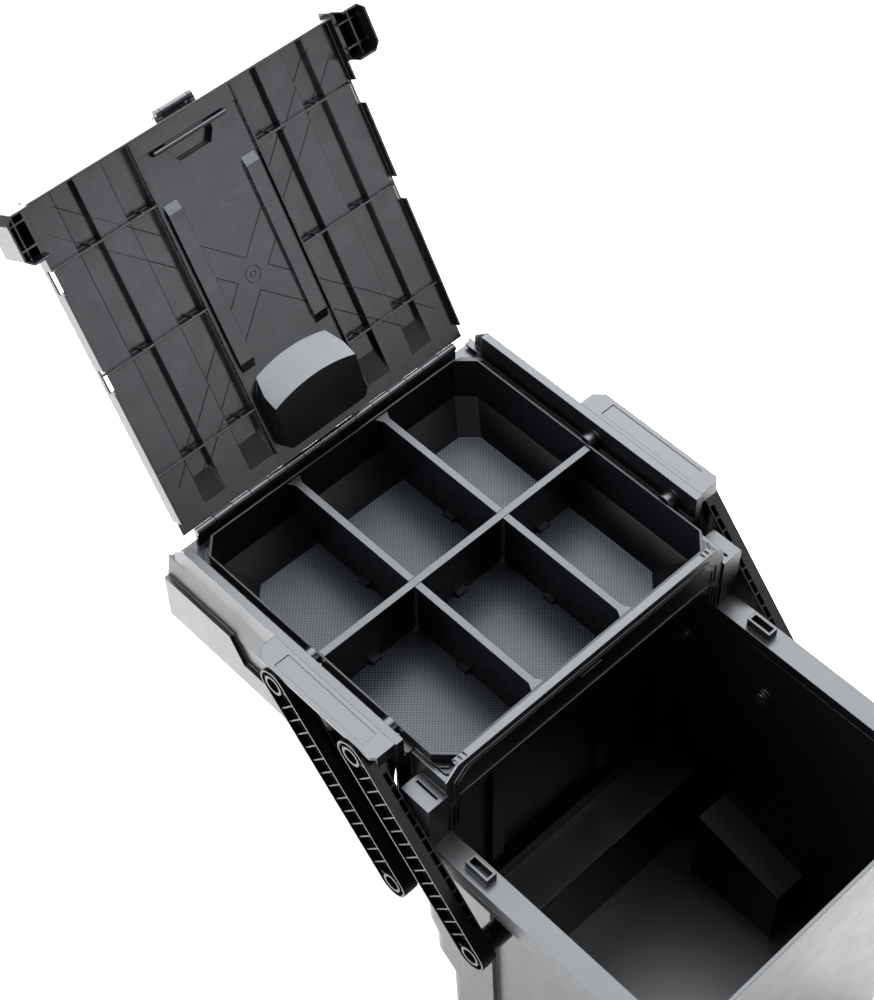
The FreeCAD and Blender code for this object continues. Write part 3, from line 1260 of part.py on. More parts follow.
def band_line(name, margin):
    """A raised line on the front band, which follows its outer edge at a margin."""

    def outline(inset):
        half = s.leg_offset - inset
        top = rim_z - inset
        corner = s.band_corner
        return [(-half, tray_bottom), (half, tray_bottom), (half, top - corner), (half - corner, top),
                (corner - half, top), (-half, top - corner)]

    front = tray_front - s.bead_reach
    line = prism(name + "_line", "XZ", outline(margin), front, tray_front + s.frame_wall / 2)
    low = tray_bottom - s.overrun
    room = outline(margin + s.line_width)
    room = [(x, low) for x, z in room[:2]] + room[2:]
    back = tray_front + s.frame_wall
    return cut(name, line, [prism(name + "_room", "XZ", room, front - s.overrun, back)])


def make_frame():
    wall = s.frame_wall
    pieces = []
    bores = []
    for side in (LEFT, RIGHT):
        more, holes = frame_side(side)
        pieces += more
        bores += holes
    opening_half = s.leg_offset - s.leg_width
    opening_top = rail_top + s.arch_rise
    pieces.append(arch("frame_band", s.leg_offset, rim_z, ZERO, s.band_corner, tray_front, tray_front + wall))
    pieces.append(arch("frame_lip", opening_half + s.lip_width, opening_top + s.lip_width, ZERO,
                       s.arch_corner, tray_front, tray_front + s.lip_depth))
    bead_half = opening_half + s.bead_inset
    pieces.append(arch("frame_bead", bead_half + s.bead_width, opening_top + s.bead_inset + s.bead_width,
                       s.bead_inset, s.arch_corner, tray_front - s.bead_reach, tray_front))
    for number in range(BAND_LINES):
        margin = s.line_margin + number * s.line_pitch
        pieces.append(band_line("frame_band_line_%d" % number, margin))
    beam_end = s.leg_offset - s.band_corner
    beam_low = rim_z - wall
    beam_y = (tray_front, tub_front - s.tub_wall)
    pieces.append(box("frame_beam", (-beam_end, beam_end), beam_y, (beam_low, rim_z)))
    pieces.append(box("frame_front_seat", (-s.leg_offset + wall, s.leg_offset - wall), beam_y,
                      (ledge_top - 2 * s.tub_wall, ledge_top - s.tub_wall)))
    rear_top = rim_z - s.rear_drop
    pieces.append(box("frame_rear_wall", (-belt_outer, belt_outer), (tray_rear - wall, tray_rear),
                      (tray_bottom, tray_bottom + s.belt_rise)))
    pieces.append(box("frame_rear_panel", (-rim_outer, rim_outer), (tray_rear - wall, tray_rear),
                      (tray_bottom, rear_top)))
    pieces.append(box("frame_rear_ledge", (-rim_outer + wall, rim_outer - wall),
                      (tub_rear + s.tub_wall + s.clearance, tray_rear), (rear_top - wall, rear_top)))
    for number in range(GRIP_GROOVES):
        for side in (LEFT, RIGHT):
            start = beam_end - s.grip_groove_width - number * s.grip_groove_pitch
            bores.append(box("frame_groove_%s_%d" % (side_name(side), number),
                             span(side, start, start + s.grip_groove_width),
                             (tray_front + wall, tub_front - s.tub_wall - wall / 2),
                             (rim_z - s.grip_groove_depth, rim_z + s.overrun)))
    pieces += knuckles("frame", 0, rear_top - wall)
    pieces.append(box("frame_hinge_wall", (-s.hinge_half_width, s.hinge_half_width),
                      (hinge_y - s.knuckle_radius / 2, hinge_y + s.knuckle_radius / 2),
                      (rear_top - wall, hinge_z - s.knuckle_radius - s.hinge_play)))
    bores.append(rod("frame_rod_bore", "x", (-rim_inner, hinge_y, hinge_z), s.rod_radius + s.running,
                     2 * rim_inner))
    node(cut("frame_solid", fuse("frame_whole", pieces), bores), "tray_frame")


lid_rear = s.knuckle_radius + s.hinge_play


def knuckle_span(number):
    pitch = 2 * s.hinge_half_width / KNUCKLES
    low = number * pitch - s.hinge_half_width
    return low, low + pitch - s.knuckle_gap


def knuckles(name, first, foot):
    """The tray's knuckles, each on a web that stands on the rear ledge."""
    pieces = []
    for number in range(first, KNUCKLES, 2):
        low, high = knuckle_span(number)
        label = "%s_knuckle_%d" % (name, number)
        pieces.append(rod(label, "x", (low, hinge_y, hinge_z), s.knuckle_radius, high - low))
        half = s.knuckle_radius / 2
        pieces.append(box(label + "_web", (low, high), (hinge_y - half, hinge_y + half),
                          (foot, hinge_z - half)))
    return pieces


def make_side_grip(side):
    """The moulded grip on a side of the tray, which roofs the arms' upper ends."""
    word = side_name(side)
    name = "side_grip_%s_" % word
    low_y = front_pivot_y + swing - s.arm_half_width - s.grip_front_gap
    high_y = rear_pivot_y + swing + s.arm_half_width + s.grip_front_gap
    outer = rim_outer + s.grip_reach
    plan = [(rim_outer, low_y), (outer - s.tread_inset, low_y), (outer, low_y + s.tread_inset),
            (outer, high_y - 2 * s.tread_inset), (outer - 2 * s.tread_inset, high_y), (rim_outer, high_y)]
    roof = prism(name + "roof", "XY", [(side * x, y) for x, y in plan], roof_low, frame_top)
    end_low = frame_top - s.grip_end_drop
    wall = s.frame_wall
    front_end = box(name + "front_end", span(side, rim_outer, outer - s.tread_inset),
                    (low_y, low_y + wall), (end_low, roof_low))
    rear_end = box(name + "rear_end", span(side, rim_outer, outer - 2 * s.tread_inset),
                   (high_y - wall, high_y), (end_low, roof_low))
    back = box(name + "back", span(side, rim_outer, rim_outer + wall), (low_y, high_y),
               (frame_top - s.grip_back_rise, roof_low))
    tread = box(name + "tread", span(side, rim_outer + s.tread_inset, outer - s.tread_inset),
                (low_y + 4 * s.tread_inset, high_y - 5 * s.tread_inset),
                (frame_top - s.tread_depth, frame_top + s.overrun))
    bosses = []
    for place, y in pivots:
        near, far = span(side, rim_outer - s.overrun, boss_end + s.overrun)
        bosses.append(rod(name + place + "_room", "x", (near, y + swing, upper_pivot_z),
                          s.barrel_radius + s.running, far - near))
    node(cut(name + "solid", fuse(name + "whole", [roof, front_end, rear_end, back]), [tread] + bosses),
         "%s_side_grip" % word)


def make_hinge_rod():
    reach = s.hinge_half_width
    node(rod("hinge_rod_bar", "x", (-reach, hinge_y, hinge_z), s.rod_radius, 2 * reach), "hinge_rod")


def make_keeper():
    top = rim_z - s.keeper_drop
    low = top - s.keeper_rise
    points = [(tray_front, low), (tray_front, top), (tray_front - s.keeper_reach, top),
              (tray_front - s.keeper_reach, top - s.keeper_rise / 2)]
    node(prism("keeper_block", "YZ", points, -s.keeper_half_width, s.keeper_half_width), "latch_keeper")


# Lid. It is drawn shut, about its hinge line, and Placement opens it: Y runs to the rear and Z up.

def lid_place(piece):
    return lean_back(piece, s.lid_open, hinge_y, hinge_z)


def lid_skin_points():
    """The lid's corrugated section, along its underside and back along its top."""
    half = s.lid_half_width
    under = [(-half, ZERO)]
    stations = []
    for low_share, high_share in CHANNEL_SHARES:
        low, high = low_share * half, high_share * half
        stations.append((low, low + s.channel_slope, high - s.channel_slope, high))
    for low, low_in, high_in, high in reversed(stations):
        under += [(-high, ZERO), (-high_in, s.channel_depth), (-low_in, s.channel_depth), (-low, ZERO)]
    for low, low_in, high_in, high in stations:
        under += [(low, ZERO), (low_in, s.channel_depth), (high_in, s.channel_depth), (high, ZERO)]
    under.append((half, ZERO))
    over = [(x, z + s.lid_skin) for x, z in reversed(under)]
    return under + over


def lid_ear(side):
    """The hollow corner ear that covers the tray's front corner block."""
    word = side_name(side)
    name = "lid_%s_ear" % word
    top = s.channel_depth + s.lid_skin
    low_y = -(lid_reach + s.ear_ahead)
    high_y = low_y + s.ear_length
    near = s.lid_half_width + s.clearance
    far = s.lid_half_width + s.ear_reach
    corner = s.ear_corner

    def plan(inset):
        points = [(near, low_y + inset), (far - corner, low_y + inset), (far - inset, low_y + corner),
                  (far - inset, high_y - corner), (far - corner, high_y - inset), (near, high_y - inset)]
        return [(side * x, y) for x, y in points]

    shell = prism(name + "_block", "XY", plan(ZERO), -s.ear_drop, top)
    room = prism(name + "_room", "XY", plan(s.ear_wall), -s.ear_drop - s.overrun, top - s.lid_skin)
    side_wall = box(name + "_side", span(side, s.lid_half_width - s.ear_wall, near + s.ear_wall),
                    (low_y, high_y), (-s.front_lip_drop, top))
    pieces = [cut(name + "_shell", shell, [room]), side_wall]
    for number, share in enumerate(EAR_RIB_SHARES):
        y = low_y + share * s.ear_length
        pieces.append(box("%s_rib_%d" % (name, number), span(side, near, far - s.ear_wall),
                          (y, y + s.rib_wall), (-s.ear_drop / 2, top)))
    middle = far - s.ear_reach / 2
    pieces.append(box(name + "_spine", span(side, middle, middle + s.rib_wall),
                      (low_y + s.ear_wall, high_y - s.ear_wall), (-s.ear_drop / 2, top)))
    return pieces


def bump_form(name, wall, top):
    """The recess that hangs from the lid's middle panel, with a bowed ramp at its front."""
    half = s.bump_half_width + wall
    rear = -(s.bump_rear - wall)
    nose = -(s.bump_rear + s.bump_length)
    low = -(s.bump_front_drop + wall)
    corner = s.bump_corner
    plan = prism(name + "_plan", "XY", [
        (-half, rear), (half, rear), (half, nose + 2 * corner), (half - corner, nose - 2 * wall),
        (corner - half, nose - 2 * wall), (-half, nose + 2 * corner)], low - s.overrun, top)
    soft = soften(plan, s.bump_round, upright)
    side = prism(name + "_side", "YZ", [
        (nose - 2 * wall, top), (nose - 2 * wall, low), (rear, -(s.bump_drop + wall)), (rear, top)],
        -half, half)
    ramp = doc.addObject("Part::Cone", name + "_ramp")
    bind(ramp, "Radius1", s.bump_bow + 2 * wall - (s.bump_front_drop + wall + s.overrun))
    bind(ramp, "Radius2", s.bump_bow + 2 * wall + top)
    bind(ramp, "Height", s.bump_front_drop + wall + s.overrun + top)
    bind(ramp, "Placement.Base.y", nose + s.bump_bow)
    bind(ramp, "Placement.Base.z", low - s.overrun)
    both = doc.addObject("Part::MultiCommon", name)
    both.Shapes = [soft, side, ramp]
    return both


def latch_room(name, wall, top):
    """The recess behind the latch, drawn in towards its rear end."""
    front_y = s.front_pad_length - lid_reach - wall
    rear_y = front_y + s.latch_room_length + 2 * wall
    wide = s.latch_room_half_width + wall
    narrow = wide - s.latch_room_length * LATCH_ROOM_DRAW_SHARE
    low = ZERO if name.endswith("room") else -s.overrun
    bend_y = front_y + (rear_y - front_y) * LATCH_ROOM_SHARE
    plan = [(-wide, front_y), (wide, front_y), (wide, bend_y), (narrow, rear_y), (-narrow, rear_y),
            (-wide, bend_y)]
    return prism(name, "XY", plan, low, top)


def make_lid():
    skin_top = s.channel_depth + s.lid_skin
    half = s.lid_half_width
    nose = -lid_reach
    pieces = [prism("lid_skin_sheet", "XZ", lid_skin_points(), nose, -lid_rear)]
    for number, share in enumerate(LID_RIB_SHARES):
        y = -share * lid_reach
        for side in (LEFT, RIGHT):
            pieces.append(box("lid_rib_%d_%s" % (number, side_name(side)),
                              span(side, s.panel_half_width, half), (y, y + s.rib_wall),
                              (-s.rib_reach, s.channel_depth + s.lid_skin / 2)))
            for place, (low_share, high_share) in enumerate(CHANNEL_SHARES):
                x = side * (low_share + high_share) / 2 * half
                name = "lid_rib_boss_%d_%s_%d" % (number, side_name(side), place)
                pieces.append(rod(name, "z", (x, y + s.rib_wall / 2, -s.rib_reach), s.rib_boss,
                                  s.rib_reach + s.channel_depth + s.lid_skin / 2))
    for side in (LEFT, RIGHT):
        word = side_name(side)
        pieces.append(box("lid_%s_rim" % word, span(side, half - s.ear_wall, half), (nose, -s.channel_end),
                          (-s.side_rim_drop, skin_top)))
        pieces.append(box("lid_%s_panel_edge" % word,
                          span(side, s.panel_half_width - s.rib_wall, s.panel_half_width),
                          (nose, -s.channel_end), (-s.rib_reach, s.lid_skin)))
        for number, (low_share, high_share) in enumerate(CHANNEL_SHARES):
            low, high = low_share * half, high_share * half
            pieces.append(prism("lid_%s_ramp_%d" % (word, number), "YZ", [
                (-lid_rear, ZERO), (-lid_rear, skin_top), (-s.channel_end - s.channel_ramp, skin_top),
                (-s.channel_end - s.channel_ramp, s.channel_depth), (-s.channel_end, ZERO)],
                *span(side, low, high)))
        pieces += lid_ear(side)
    pieces.append(box("lid_front_lip", (-half, half), (nose, nose + s.ear_wall),
                      (-s.front_lip_drop, skin_top)))
    for side in (LEFT, RIGHT):
        beam_far = s.panel_half_width - s.rib_wall - s.beam_gap
        beam_front = s.beam_front - lid_reach
        pieces.append(prism("lid_%s_beam" % side_name(side), "YZ", [
            (beam_front, ZERO), (beam_front + s.beam_slope, -s.beam_rise),
            (-s.beam_back - s.beam_slope, -s.beam_rise), (-s.beam_back, ZERO),
            (-s.beam_back, s.lid_skin / 2), (beam_front, s.lid_skin / 2)],
            *span(side, beam_far - s.beam_width, beam_far)))
    pad_half = s.panel_half_width - s.rib_wall
    pieces.append(box("lid_front_pad", (-pad_half, pad_half), (nose, nose + s.front_pad_length),
                      (-s.front_pad_rise, s.lid_skin)))
    pieces.append(latch_room("lid_latch_room", s.lid_skin, skin_top))
    pieces.append(bump_form("lid_bump", s.lid_skin, s.lid_skin))
    for number in range(1, KNUCKLES, 2):
        low, high = knuckle_span(number)
        label = "lid_knuckle_%d" % number
        pieces.append(rod(label, "x", (low, ZERO, ZERO), s.knuckle_radius, high - low))
        pieces.append(box(label + "_web", (low, high), (-lid_rear - s.lid_skin, ZERO),
                          (ZERO, s.knuckle_radius)))
    lug_x = s.latch_half_width + s.clearance
    for side in (LEFT, RIGHT):
        word = side_name(side)
        x = span(side, lug_x, lug_x + s.latch_lug)
        pivot_y = nose - latch_ahead
        pieces.append(rod("lid_%s_lug" % word, "x", (x[0], pivot_y, s.latch_pivot_rise), s.latch_barrel,
                          s.latch_lug))
        pieces.append(box("lid_%s_lug_web" % word, x, (pivot_y, nose + s.ear_wall / 2),
                          (s.latch_pivot_rise - s.latch_barrel, s.latch_pivot_rise + s.latch_barrel)))
    tools = [bump_form("lid_bump_room", ZERO, skin_top + s.overrun)]
    tools.append(latch_room("lid_latch_space", ZERO, s.channel_depth))
    for side in (LEFT, RIGHT):
        for place, y in pivots:
            centre = y + swing - hinge_y
            reach = s.barrel_radius + s.notch_play
            tools.append(box("lid_notch_%s_%s" % (side_name(side), place),
                             span(side, s.tub_half_width + s.tub_wall, half + s.overrun),
                             (centre - reach, centre + reach), (-s.side_rim_drop - s.overrun, s.notch_play)))
    tools.append(rod("lid_rod_bore", "x", (-half, ZERO, ZERO), s.rod_radius + s.running, 2 * half))
    tools.append(rod("lid_pin_bore", "x", (-lug_x - s.latch_lug / 2, nose - latch_ahead, s.latch_pivot_rise),
                     s.latch_pin + s.running, 2 * lug_x + s.latch_lug))
    node(lid_place(cut("lid_solid", fuse("lid_whole", pieces), tools)), "lid")


def make_crossbar():
    y = -(lid_reach - s.crossbar_back)
    z = -(s.crossbar_drop + s.crossbar_radius)
    reach = s.crossbar_half_width
    pieces = [rod("crossbar_rod", "x", (-reach, y, z), s.crossbar_radius, 2 * reach)]
    for side in (LEFT, RIGHT):
        pieces.append(box("crossbar_%s_post" % side_name(side), span(side, reach - s.post_width, reach),
                          (y - s.crossbar_radius, y + s.crossbar_radius), (z, ZERO)))
    node(lid_place(fuse("crossbar_whole", pieces)), "lid_crossbar")


def make_latch():
    """Latch on the lid's front. It is drawn shut, hanging from its pivot, and Placement folds it back."""
    half = s.latch_half_width
    barrel = rod("latch_barrel_rod", "x", (-half, ZERO, ZERO), s.latch_barrel, 2 * half)
    inner = s.latch_barrel
    outer = inner - s.latch_wall
    plate = box("latch_plate", (-half, half), (outer, inner), (-s.latch_length, ZERO))
    keeper_low = s.latch_pivot_rise + s.hinge_rise + s.keeper_drop + s.keeper_rise
    hook_top = -keeper_low - s.clearance
    hook_low = hook_top - s.hook_rise
    hook = prism("latch_hook", "YZ", [
        (outer, hook_low), (inner, hook_low), (inner + s.hook_reach, hook_top - s.clearance),
        (inner + s.hook_reach, hook_top), (outer, hook_top)], -s.keeper_half_width, s.keeper_half_width)
    curl = rod("latch_curl", "x", (-half, outer, -s.latch_length), s.latch_wall / 2, 2 * half)
    room = rod("latch_pin_room", "x", (-half - s.overrun, ZERO, ZERO), s.latch_pin + s.running,
               2 * (half + s.overrun))
    latch = cut("latch_solid", fuse("latch_whole", [barrel, plate, hook, curl]), [room])
    reach = half + s.clearance + s.latch_lug / 2
    latch_rod = rod("latch_pin_rod", "x", (-reach, latch_y, latch_z), s.latch_pin, 2 * reach)
    node(lean_back(latch, s.lid_open + s.latch_swing, latch_y, latch_z), "lid_latch")
    node(latch_rod, "latch_pin")


# Assembly

make_bin_shell()
for which in (LEFT, RIGHT):
    make_rail(which)
make_axle()
for which in (LEFT, RIGHT):
    make_wheel(which)
make_foot()
make_housing()
make_tubes()
make_grip()
for which in (LEFT, RIGHT):
    for where, pivot_y in pivots:
        make_arm(which, where, pivot_y)
make_pins()
make_tub()
make_long_divider()
for which in (LEFT, RIGHT):
    for where in ("front", "rear"):
        make_cross_divider(which, where)
make_frame()
for which in (LEFT, RIGHT):
    make_side_grip(which)
make_hinge_rod()
make_keeper()
make_lid()
make_crossbar()
make_latch()
doc.recompute()

for thing in doc.Objects:
    if "Invalid" in thing.State or "Error" in thing.State:
        raise RuntimeError("%s failed: %s" % (thing.Name, thing.State))
for piece in nodes:
    if piece.Shape.isNull() or not piece.Shape.isValid():
        raise RuntimeError("%s has no valid shape" % piece.Label)

os.makedirs("parts", exist_ok=True)
for piece in nodes:
    piece.Shape.exportStep("parts/%s.step" % piece.Label)
    print("%-22s solids %d volume %.0f" % (piece.Label, len(piece.Shape.Solids), piece.Shape.Volume))
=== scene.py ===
import json
import math

import bmesh
import bpy
from mathutils import Matrix, Vector
from mathutils.bvhtree import BVHTree


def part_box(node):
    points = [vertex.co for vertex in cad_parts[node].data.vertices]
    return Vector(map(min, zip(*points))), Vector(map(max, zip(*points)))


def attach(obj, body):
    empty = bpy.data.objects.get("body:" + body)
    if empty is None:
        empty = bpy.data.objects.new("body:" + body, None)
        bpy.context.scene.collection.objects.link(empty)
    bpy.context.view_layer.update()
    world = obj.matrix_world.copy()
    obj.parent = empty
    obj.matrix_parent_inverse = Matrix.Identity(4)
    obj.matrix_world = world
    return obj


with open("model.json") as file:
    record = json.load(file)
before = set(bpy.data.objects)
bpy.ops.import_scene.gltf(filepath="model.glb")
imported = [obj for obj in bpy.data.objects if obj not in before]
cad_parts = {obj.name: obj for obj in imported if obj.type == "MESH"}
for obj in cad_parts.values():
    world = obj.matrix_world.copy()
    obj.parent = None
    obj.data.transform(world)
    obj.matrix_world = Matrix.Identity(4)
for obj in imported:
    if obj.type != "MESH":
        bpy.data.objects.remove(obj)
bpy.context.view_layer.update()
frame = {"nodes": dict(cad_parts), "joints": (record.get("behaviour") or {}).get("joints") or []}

bl_info = {
    "name": "Rolling job box",
    "version": (1, 0, 0),
    "blender": (4, 5, 0),
    "location": "3D View > Sidebar > Job box",
    "description": "Finishes a rolling job box with a swing-back compartment tray and sets up its studio",
    "category": "Object",
}

# The open lid: its hinge, the angle that it is opened by, the way along it from the hinge line to its front
# edge, and the way out of its underside
LID_HINGE = [joint for joint in frame["joints"] if joint["name"] == "lid_hinge"][0]
HINGE = Vector(LID_HINGE["pos_m"])
LID_OPEN = math.radians(LID_HINGE["range_deg"][1])
LID_ALONG = Vector((0, -math.cos(LID_OPEN), math.sin(LID_OPEN)))
LID_OUT = Vector((0, -math.sin(LID_OPEN), -math.cos(LID_OPEN)))


# Sizes and colours that a user would change

class JobBoxFinish(bpy.types.PropertyGroup):
    plastic: bpy.props.FloatVectorProperty(
        name="Plastic", description="Colour of the moulded shells", subtype="COLOR", size=3,
        min=0, max=1, default=(0.0024, 0.0028, 0.0036))
    grip: bpy.props.FloatVectorProperty(
        name="Grips", description="Colour of the hand grips and the latch", subtype="COLOR", size=3,
        min=0, max=1, default=(0.0024, 0.0027, 0.0034))
    rubber: bpy.props.FloatVectorProperty(
        name="Rubber", description="Colour of the tyres and the foot strip", subtype="COLOR", size=3,
        min=0, max=1, default=(0.0090, 0.0090, 0.0095))
    steel: bpy.props.FloatVectorProperty(
        name="Steel", description="Colour of the pins and the axle", subtype="COLOR", size=3,
        min=0, max=1, default=(0.13, 0.135, 0.14))
    aluminium: bpy.props.FloatVectorProperty(
        name="Aluminium", description="Colour of the pull handle's tubes", subtype="COLOR", size=3,
        min=0, max=1, default=(0.62, 0.63, 0.64))
    roughness: bpy.props.FloatProperty(
        name="Roughness", description="Mean roughness of the moulded plastic", subtype="FACTOR",
        min=0.05, max=1, default=0.29)
    tint: bpy.props.FloatVectorProperty(
        name="Shine", description="Colour of the plastic's mirrored light", subtype="COLOR", size=3,
        min=0, max=1, default=(0.93, 0.965, 1.0))
    edge: bpy.props.FloatProperty(
        name="Edge radius", description="Radius that the moulded edges are shaded with", subtype="DISTANCE",
        unit="LENGTH", min=0.0001, max=0.003, default=0.0013)
    grain: bpy.props.FloatProperty(
        name="Floor grain", description="Pitch of the crossed grain on the tray's floor", subtype="DISTANCE",
        unit="LENGTH", min=0.001, max=0.01, default=0.0052)
    cross_middle: bpy.props.FloatProperty(
        name="Cross middle", description="Hinge line to the middle of the lid's cross", subtype="DISTANCE",
        unit="LENGTH", default=0.2316)
    cross_lean: bpy.props.FloatProperty(
        name="Cross lean", description="Angle of the cross's arms to the hinge line", subtype="ANGLE",
        unit="ROTATION", default=math.radians(42.9))
    cross_width: bpy.props.FloatProperty(
        name="Cross width", description="Distance between the two lines of an arm", subtype="DISTANCE",
        unit="LENGTH", default=0.0316)
    cross_low: bpy.props.FloatProperty(
        name="Cross low end", description="Hinge line to the cross's low end", subtype="DISTANCE",
        unit="LENGTH", default=0.050)
    cross_high: bpy.props.FloatProperty(
        name="Cross high end", description="Hinge line to the cross's high end", subtype="DISTANCE",
        unit="LENGTH", default=0.430)
    cross_reach: bpy.props.FloatProperty(
        name="Cross reach", description="Lid's middle to the cross's side ends", subtype="DISTANCE",
        unit="LENGTH", default=0.208)
    cross_start: bpy.props.FloatProperty(
        name="Cross start", description="Where the lines are laid from, out from the lid", subtype="DISTANCE",
        unit="LENGTH", default=0.060)
    cross_step: bpy.props.FloatProperty(
        name="Cross step", description="Step along a line where it is laid on the lid", subtype="DISTANCE",
        unit="LENGTH", default=0.0010)
    cross_proud: bpy.props.FloatProperty(
        name="Cross break", description="Height over the lid's ridges at which a line breaks",
        subtype="DISTANCE", unit="LENGTH", default=0.0006)
    line_width: bpy.props.FloatProperty(
        name="Line width", description="Width of the raised lines", subtype="DISTANCE", unit="LENGTH",
        default=0.0015)
    line_height: bpy.props.FloatProperty(
        name="Line height", description="Height of the raised lines", subtype="DISTANCE", unit="LENGTH",
        default=0.0005)
    hub_ring: bpy.props.FloatProperty(
        name="Hub ring", description="Radius of the small ring at the cross's middle", subtype="DISTANCE",
        unit="LENGTH", default=0.0036)
    hub_disc: bpy.props.FloatProperty(
        name="Hub disc", description="Radius of the wide ring at the cross's middle", subtype="DISTANCE",
        unit="LENGTH", default=0.0105)


class JobBoxStage(bpy.types.PropertyGroup):
    azimuth: bpy.props.FloatProperty(
        name="Azimuth", description="Camera's turn about the upright axis", subtype="ANGLE", unit="ROTATION",
        default=math.radians(-42.57))
    elevation: bpy.props.FloatProperty(
        name="Elevation", description="How far the camera looks down", subtype="ANGLE", unit="ROTATION",
        default=math.radians(51.85))
    roll: bpy.props.FloatProperty(
        name="Roll", description="Camera's turn about its own view", subtype="ANGLE", unit="ROTATION",
        default=math.radians(-1.35))
    lens: bpy.props.FloatProperty(
        name="Lens", description="Focal length of the camera in millimetres", min=20, max=300, default=79.13)
    eye: bpy.props.FloatVectorProperty(
        name="Eye", description="Where the camera stands", subtype="XYZ", unit="LENGTH", size=3,
        default=(-1.0780, -0.5918, 2.7434))
    floor: bpy.props.FloatVectorProperty(
        name="Floor", description="Colour of the studio floor", subtype="COLOR", size=3, min=0, max=1,
        default=(0.88, 0.88, 0.88))
    key: bpy.props.FloatProperty(
        name="Key light", description="Power of the large light above and behind", subtype="POWER",
        unit="POWER", min=0, default=240)
    side: bpy.props.FloatProperty(
        name="Side light", description="Power of the soft light from the left", subtype="POWER", unit="POWER",
        min=0, default=300)
    back: bpy.props.FloatProperty(
        name="Back light", description="Power of the low wide light behind", subtype="POWER", unit="POWER",
        min=0, default=90)
    front: bpy.props.FloatProperty(
        name="Front light", description="Power of the small light ahead, which the open lid mirrors",
        subtype="POWER", unit="POWER", min=0, default=23)
    sky: bpy.props.FloatProperty(
        name="Sky", description="Strength of the light from all round", min=0, max=5, default=0.36)


# Shader building

# Numbers of a Mix node's colour sockets, which share their names with its other sockets
MIX_FIRST, MIX_SECOND, MIX_RESULT = 6, 7, 2

BEVEL_SAMPLES = 4

# A surface counts as an edge where the cosine of its turn has dropped by this much, within this band
EDGE_TURN, EDGE_BAND = 0.06, 0.10


class Field:
    """A value that changes over a surface; arithmetic on it adds Math nodes."""

    def __init__(self, finish, socket):
        self.finish = finish
        self.socket = socket

    def math(self, operation, *others):
        sockets = dict(enumerate((self, *others)))
        return self.finish.add("ShaderNodeMath", {"operation": operation}, sockets)

    def swapped(self, operation, other):
        return self.finish.add("ShaderNodeMath", {"operation": operation}, {0: other, 1: self})

    def __add__(self, other):
        return self.math("ADD", other)

    def __sub__(self, other):
        return self.math("SUBTRACT", other)

    def __mul__(self, other):
        return self.math("MULTIPLY", other)

    def __radd__(self, other):
        return self.swapped("ADD", other)

    def __rsub__(self, other):
        return self.swapped("SUBTRACT", other)

    def __rmul__(self, other):
        return self.swapped("MULTIPLY", other)

    def above(self, limit, band):
        """0 below a limit and 1 above it, with a soft step between them that is as wide as band."""
        return self.finish.add("ShaderNodeMapRange", {"interpolation_type": "SMOOTHSTEP"}, {
            "Value": self, "From Min": limit - band / 2, "From Max": limit + band / 2})

    def wave(self, pitch):
        """Goes from -1 to 1 and back over each pitch."""
        return (self * (2 * math.pi / pitch)).math("SINE")


class Finish:
    """A material under construction: its nodes, and the Principled shader that they feed."""

    def __init__(self, name):
        self.material = bpy.data.materials.new(name)
        self.material.use_nodes = True
        self.tree = self.material.node_tree
        self.tree.nodes.clear()
        output = self.tree.nodes.new("ShaderNodeOutputMaterial")
        self.shader = self.tree.nodes.new("ShaderNodeBsdfPrincipled")
        self.tree.links.new(self.shader.outputs["BSDF"], output.inputs["Surface"])
        self.place = self.add("ShaderNodeTexCoord", {}, {}, "Object")

    def add(self, kind, settings, sockets, output=0):
        """Adds a node: its settings first, then what its sockets hold or are linked to."""
        node = self.tree.nodes.new(kind)
        for key, value in settings.items():
            setattr(node, key, value)
        for key, value in sockets.items():
            self.fill(node.inputs[key], value)
        return Field(self, node.outputs[output])

    def fill(self, socket, value):
        if isinstance(value, Field):
            self.tree.links.new(value.socket, socket)
        else:
            socket.default_value = value

    def set(self, name, value):
        self.fill(self.shader.inputs[name], value)

    def axis(self, letter):
        """How far along the piece's own X, Y or Z axis a point lies."""
        return self.add("ShaderNodeSeparateXYZ", {}, {"Vector": self.place}, letter)

    def facing(self, letter):
        """How far the surface faces along X, Y or Z, from -1 to 1."""
        normal = self.add("ShaderNodeNewGeometry", {}, {}, "Normal")
        return self.add("ShaderNodeSeparateXYZ", {}, {"Vector": normal}, letter)

    def noise(self, scale, detail, stretch=None, roughness=0.5):
        """Noise with scale cells to the metre, packed closer along an axis whose stretch is over 1."""
        place = self.place
        if stretch is not None:
            place = self.add("ShaderNodeMapping", {}, {"Vector": self.place, "Scale": stretch})
        return self.add("ShaderNodeTexNoise", {}, {
            "Vector": place, "Scale": scale, "Detail": detail, "Roughness": roughness})

    def blend(self, factor, first, second):
        """Mixes two colours."""
        return self.add("ShaderNodeMix", {"data_type": "RGBA"}, {
            "Factor": factor, MIX_FIRST: self.colour(first), MIX_SECOND: self.colour(second)}, MIX_RESULT)

    def colour(self, value):
        return value if isinstance(value, Field) else (*value, 1)

    def bump(self, height, depth, normal):
        """A relief of the given depth, on top of the normal that it is given."""
        return self.add("ShaderNodeBump", {}, {
            "Height": height, "Distance": depth, "Strength": 1.0, "Normal": normal})

    def rounded(self, radius):
        return self.add("ShaderNodeBevel", {"samples": BEVEL_SAMPLES}, {"Radius": radius})

    def edges(self, rounded):
        """1 on the rounded edges and 0 on the flats between them."""
        normal = self.add("ShaderNodeNewGeometry", {}, {}, "Normal")
        product = self.add("ShaderNodeVectorMath", {"operation": "DOT_PRODUCT"}, {0: normal, 1: rounded},
                           "Value")
        return (1 - product).above(EDGE_TURN, EDGE_BAND)


def shade(colour, factor):
    """The colour, made darker or lighter by a factor."""
    return tuple(channel * factor for channel in colour)


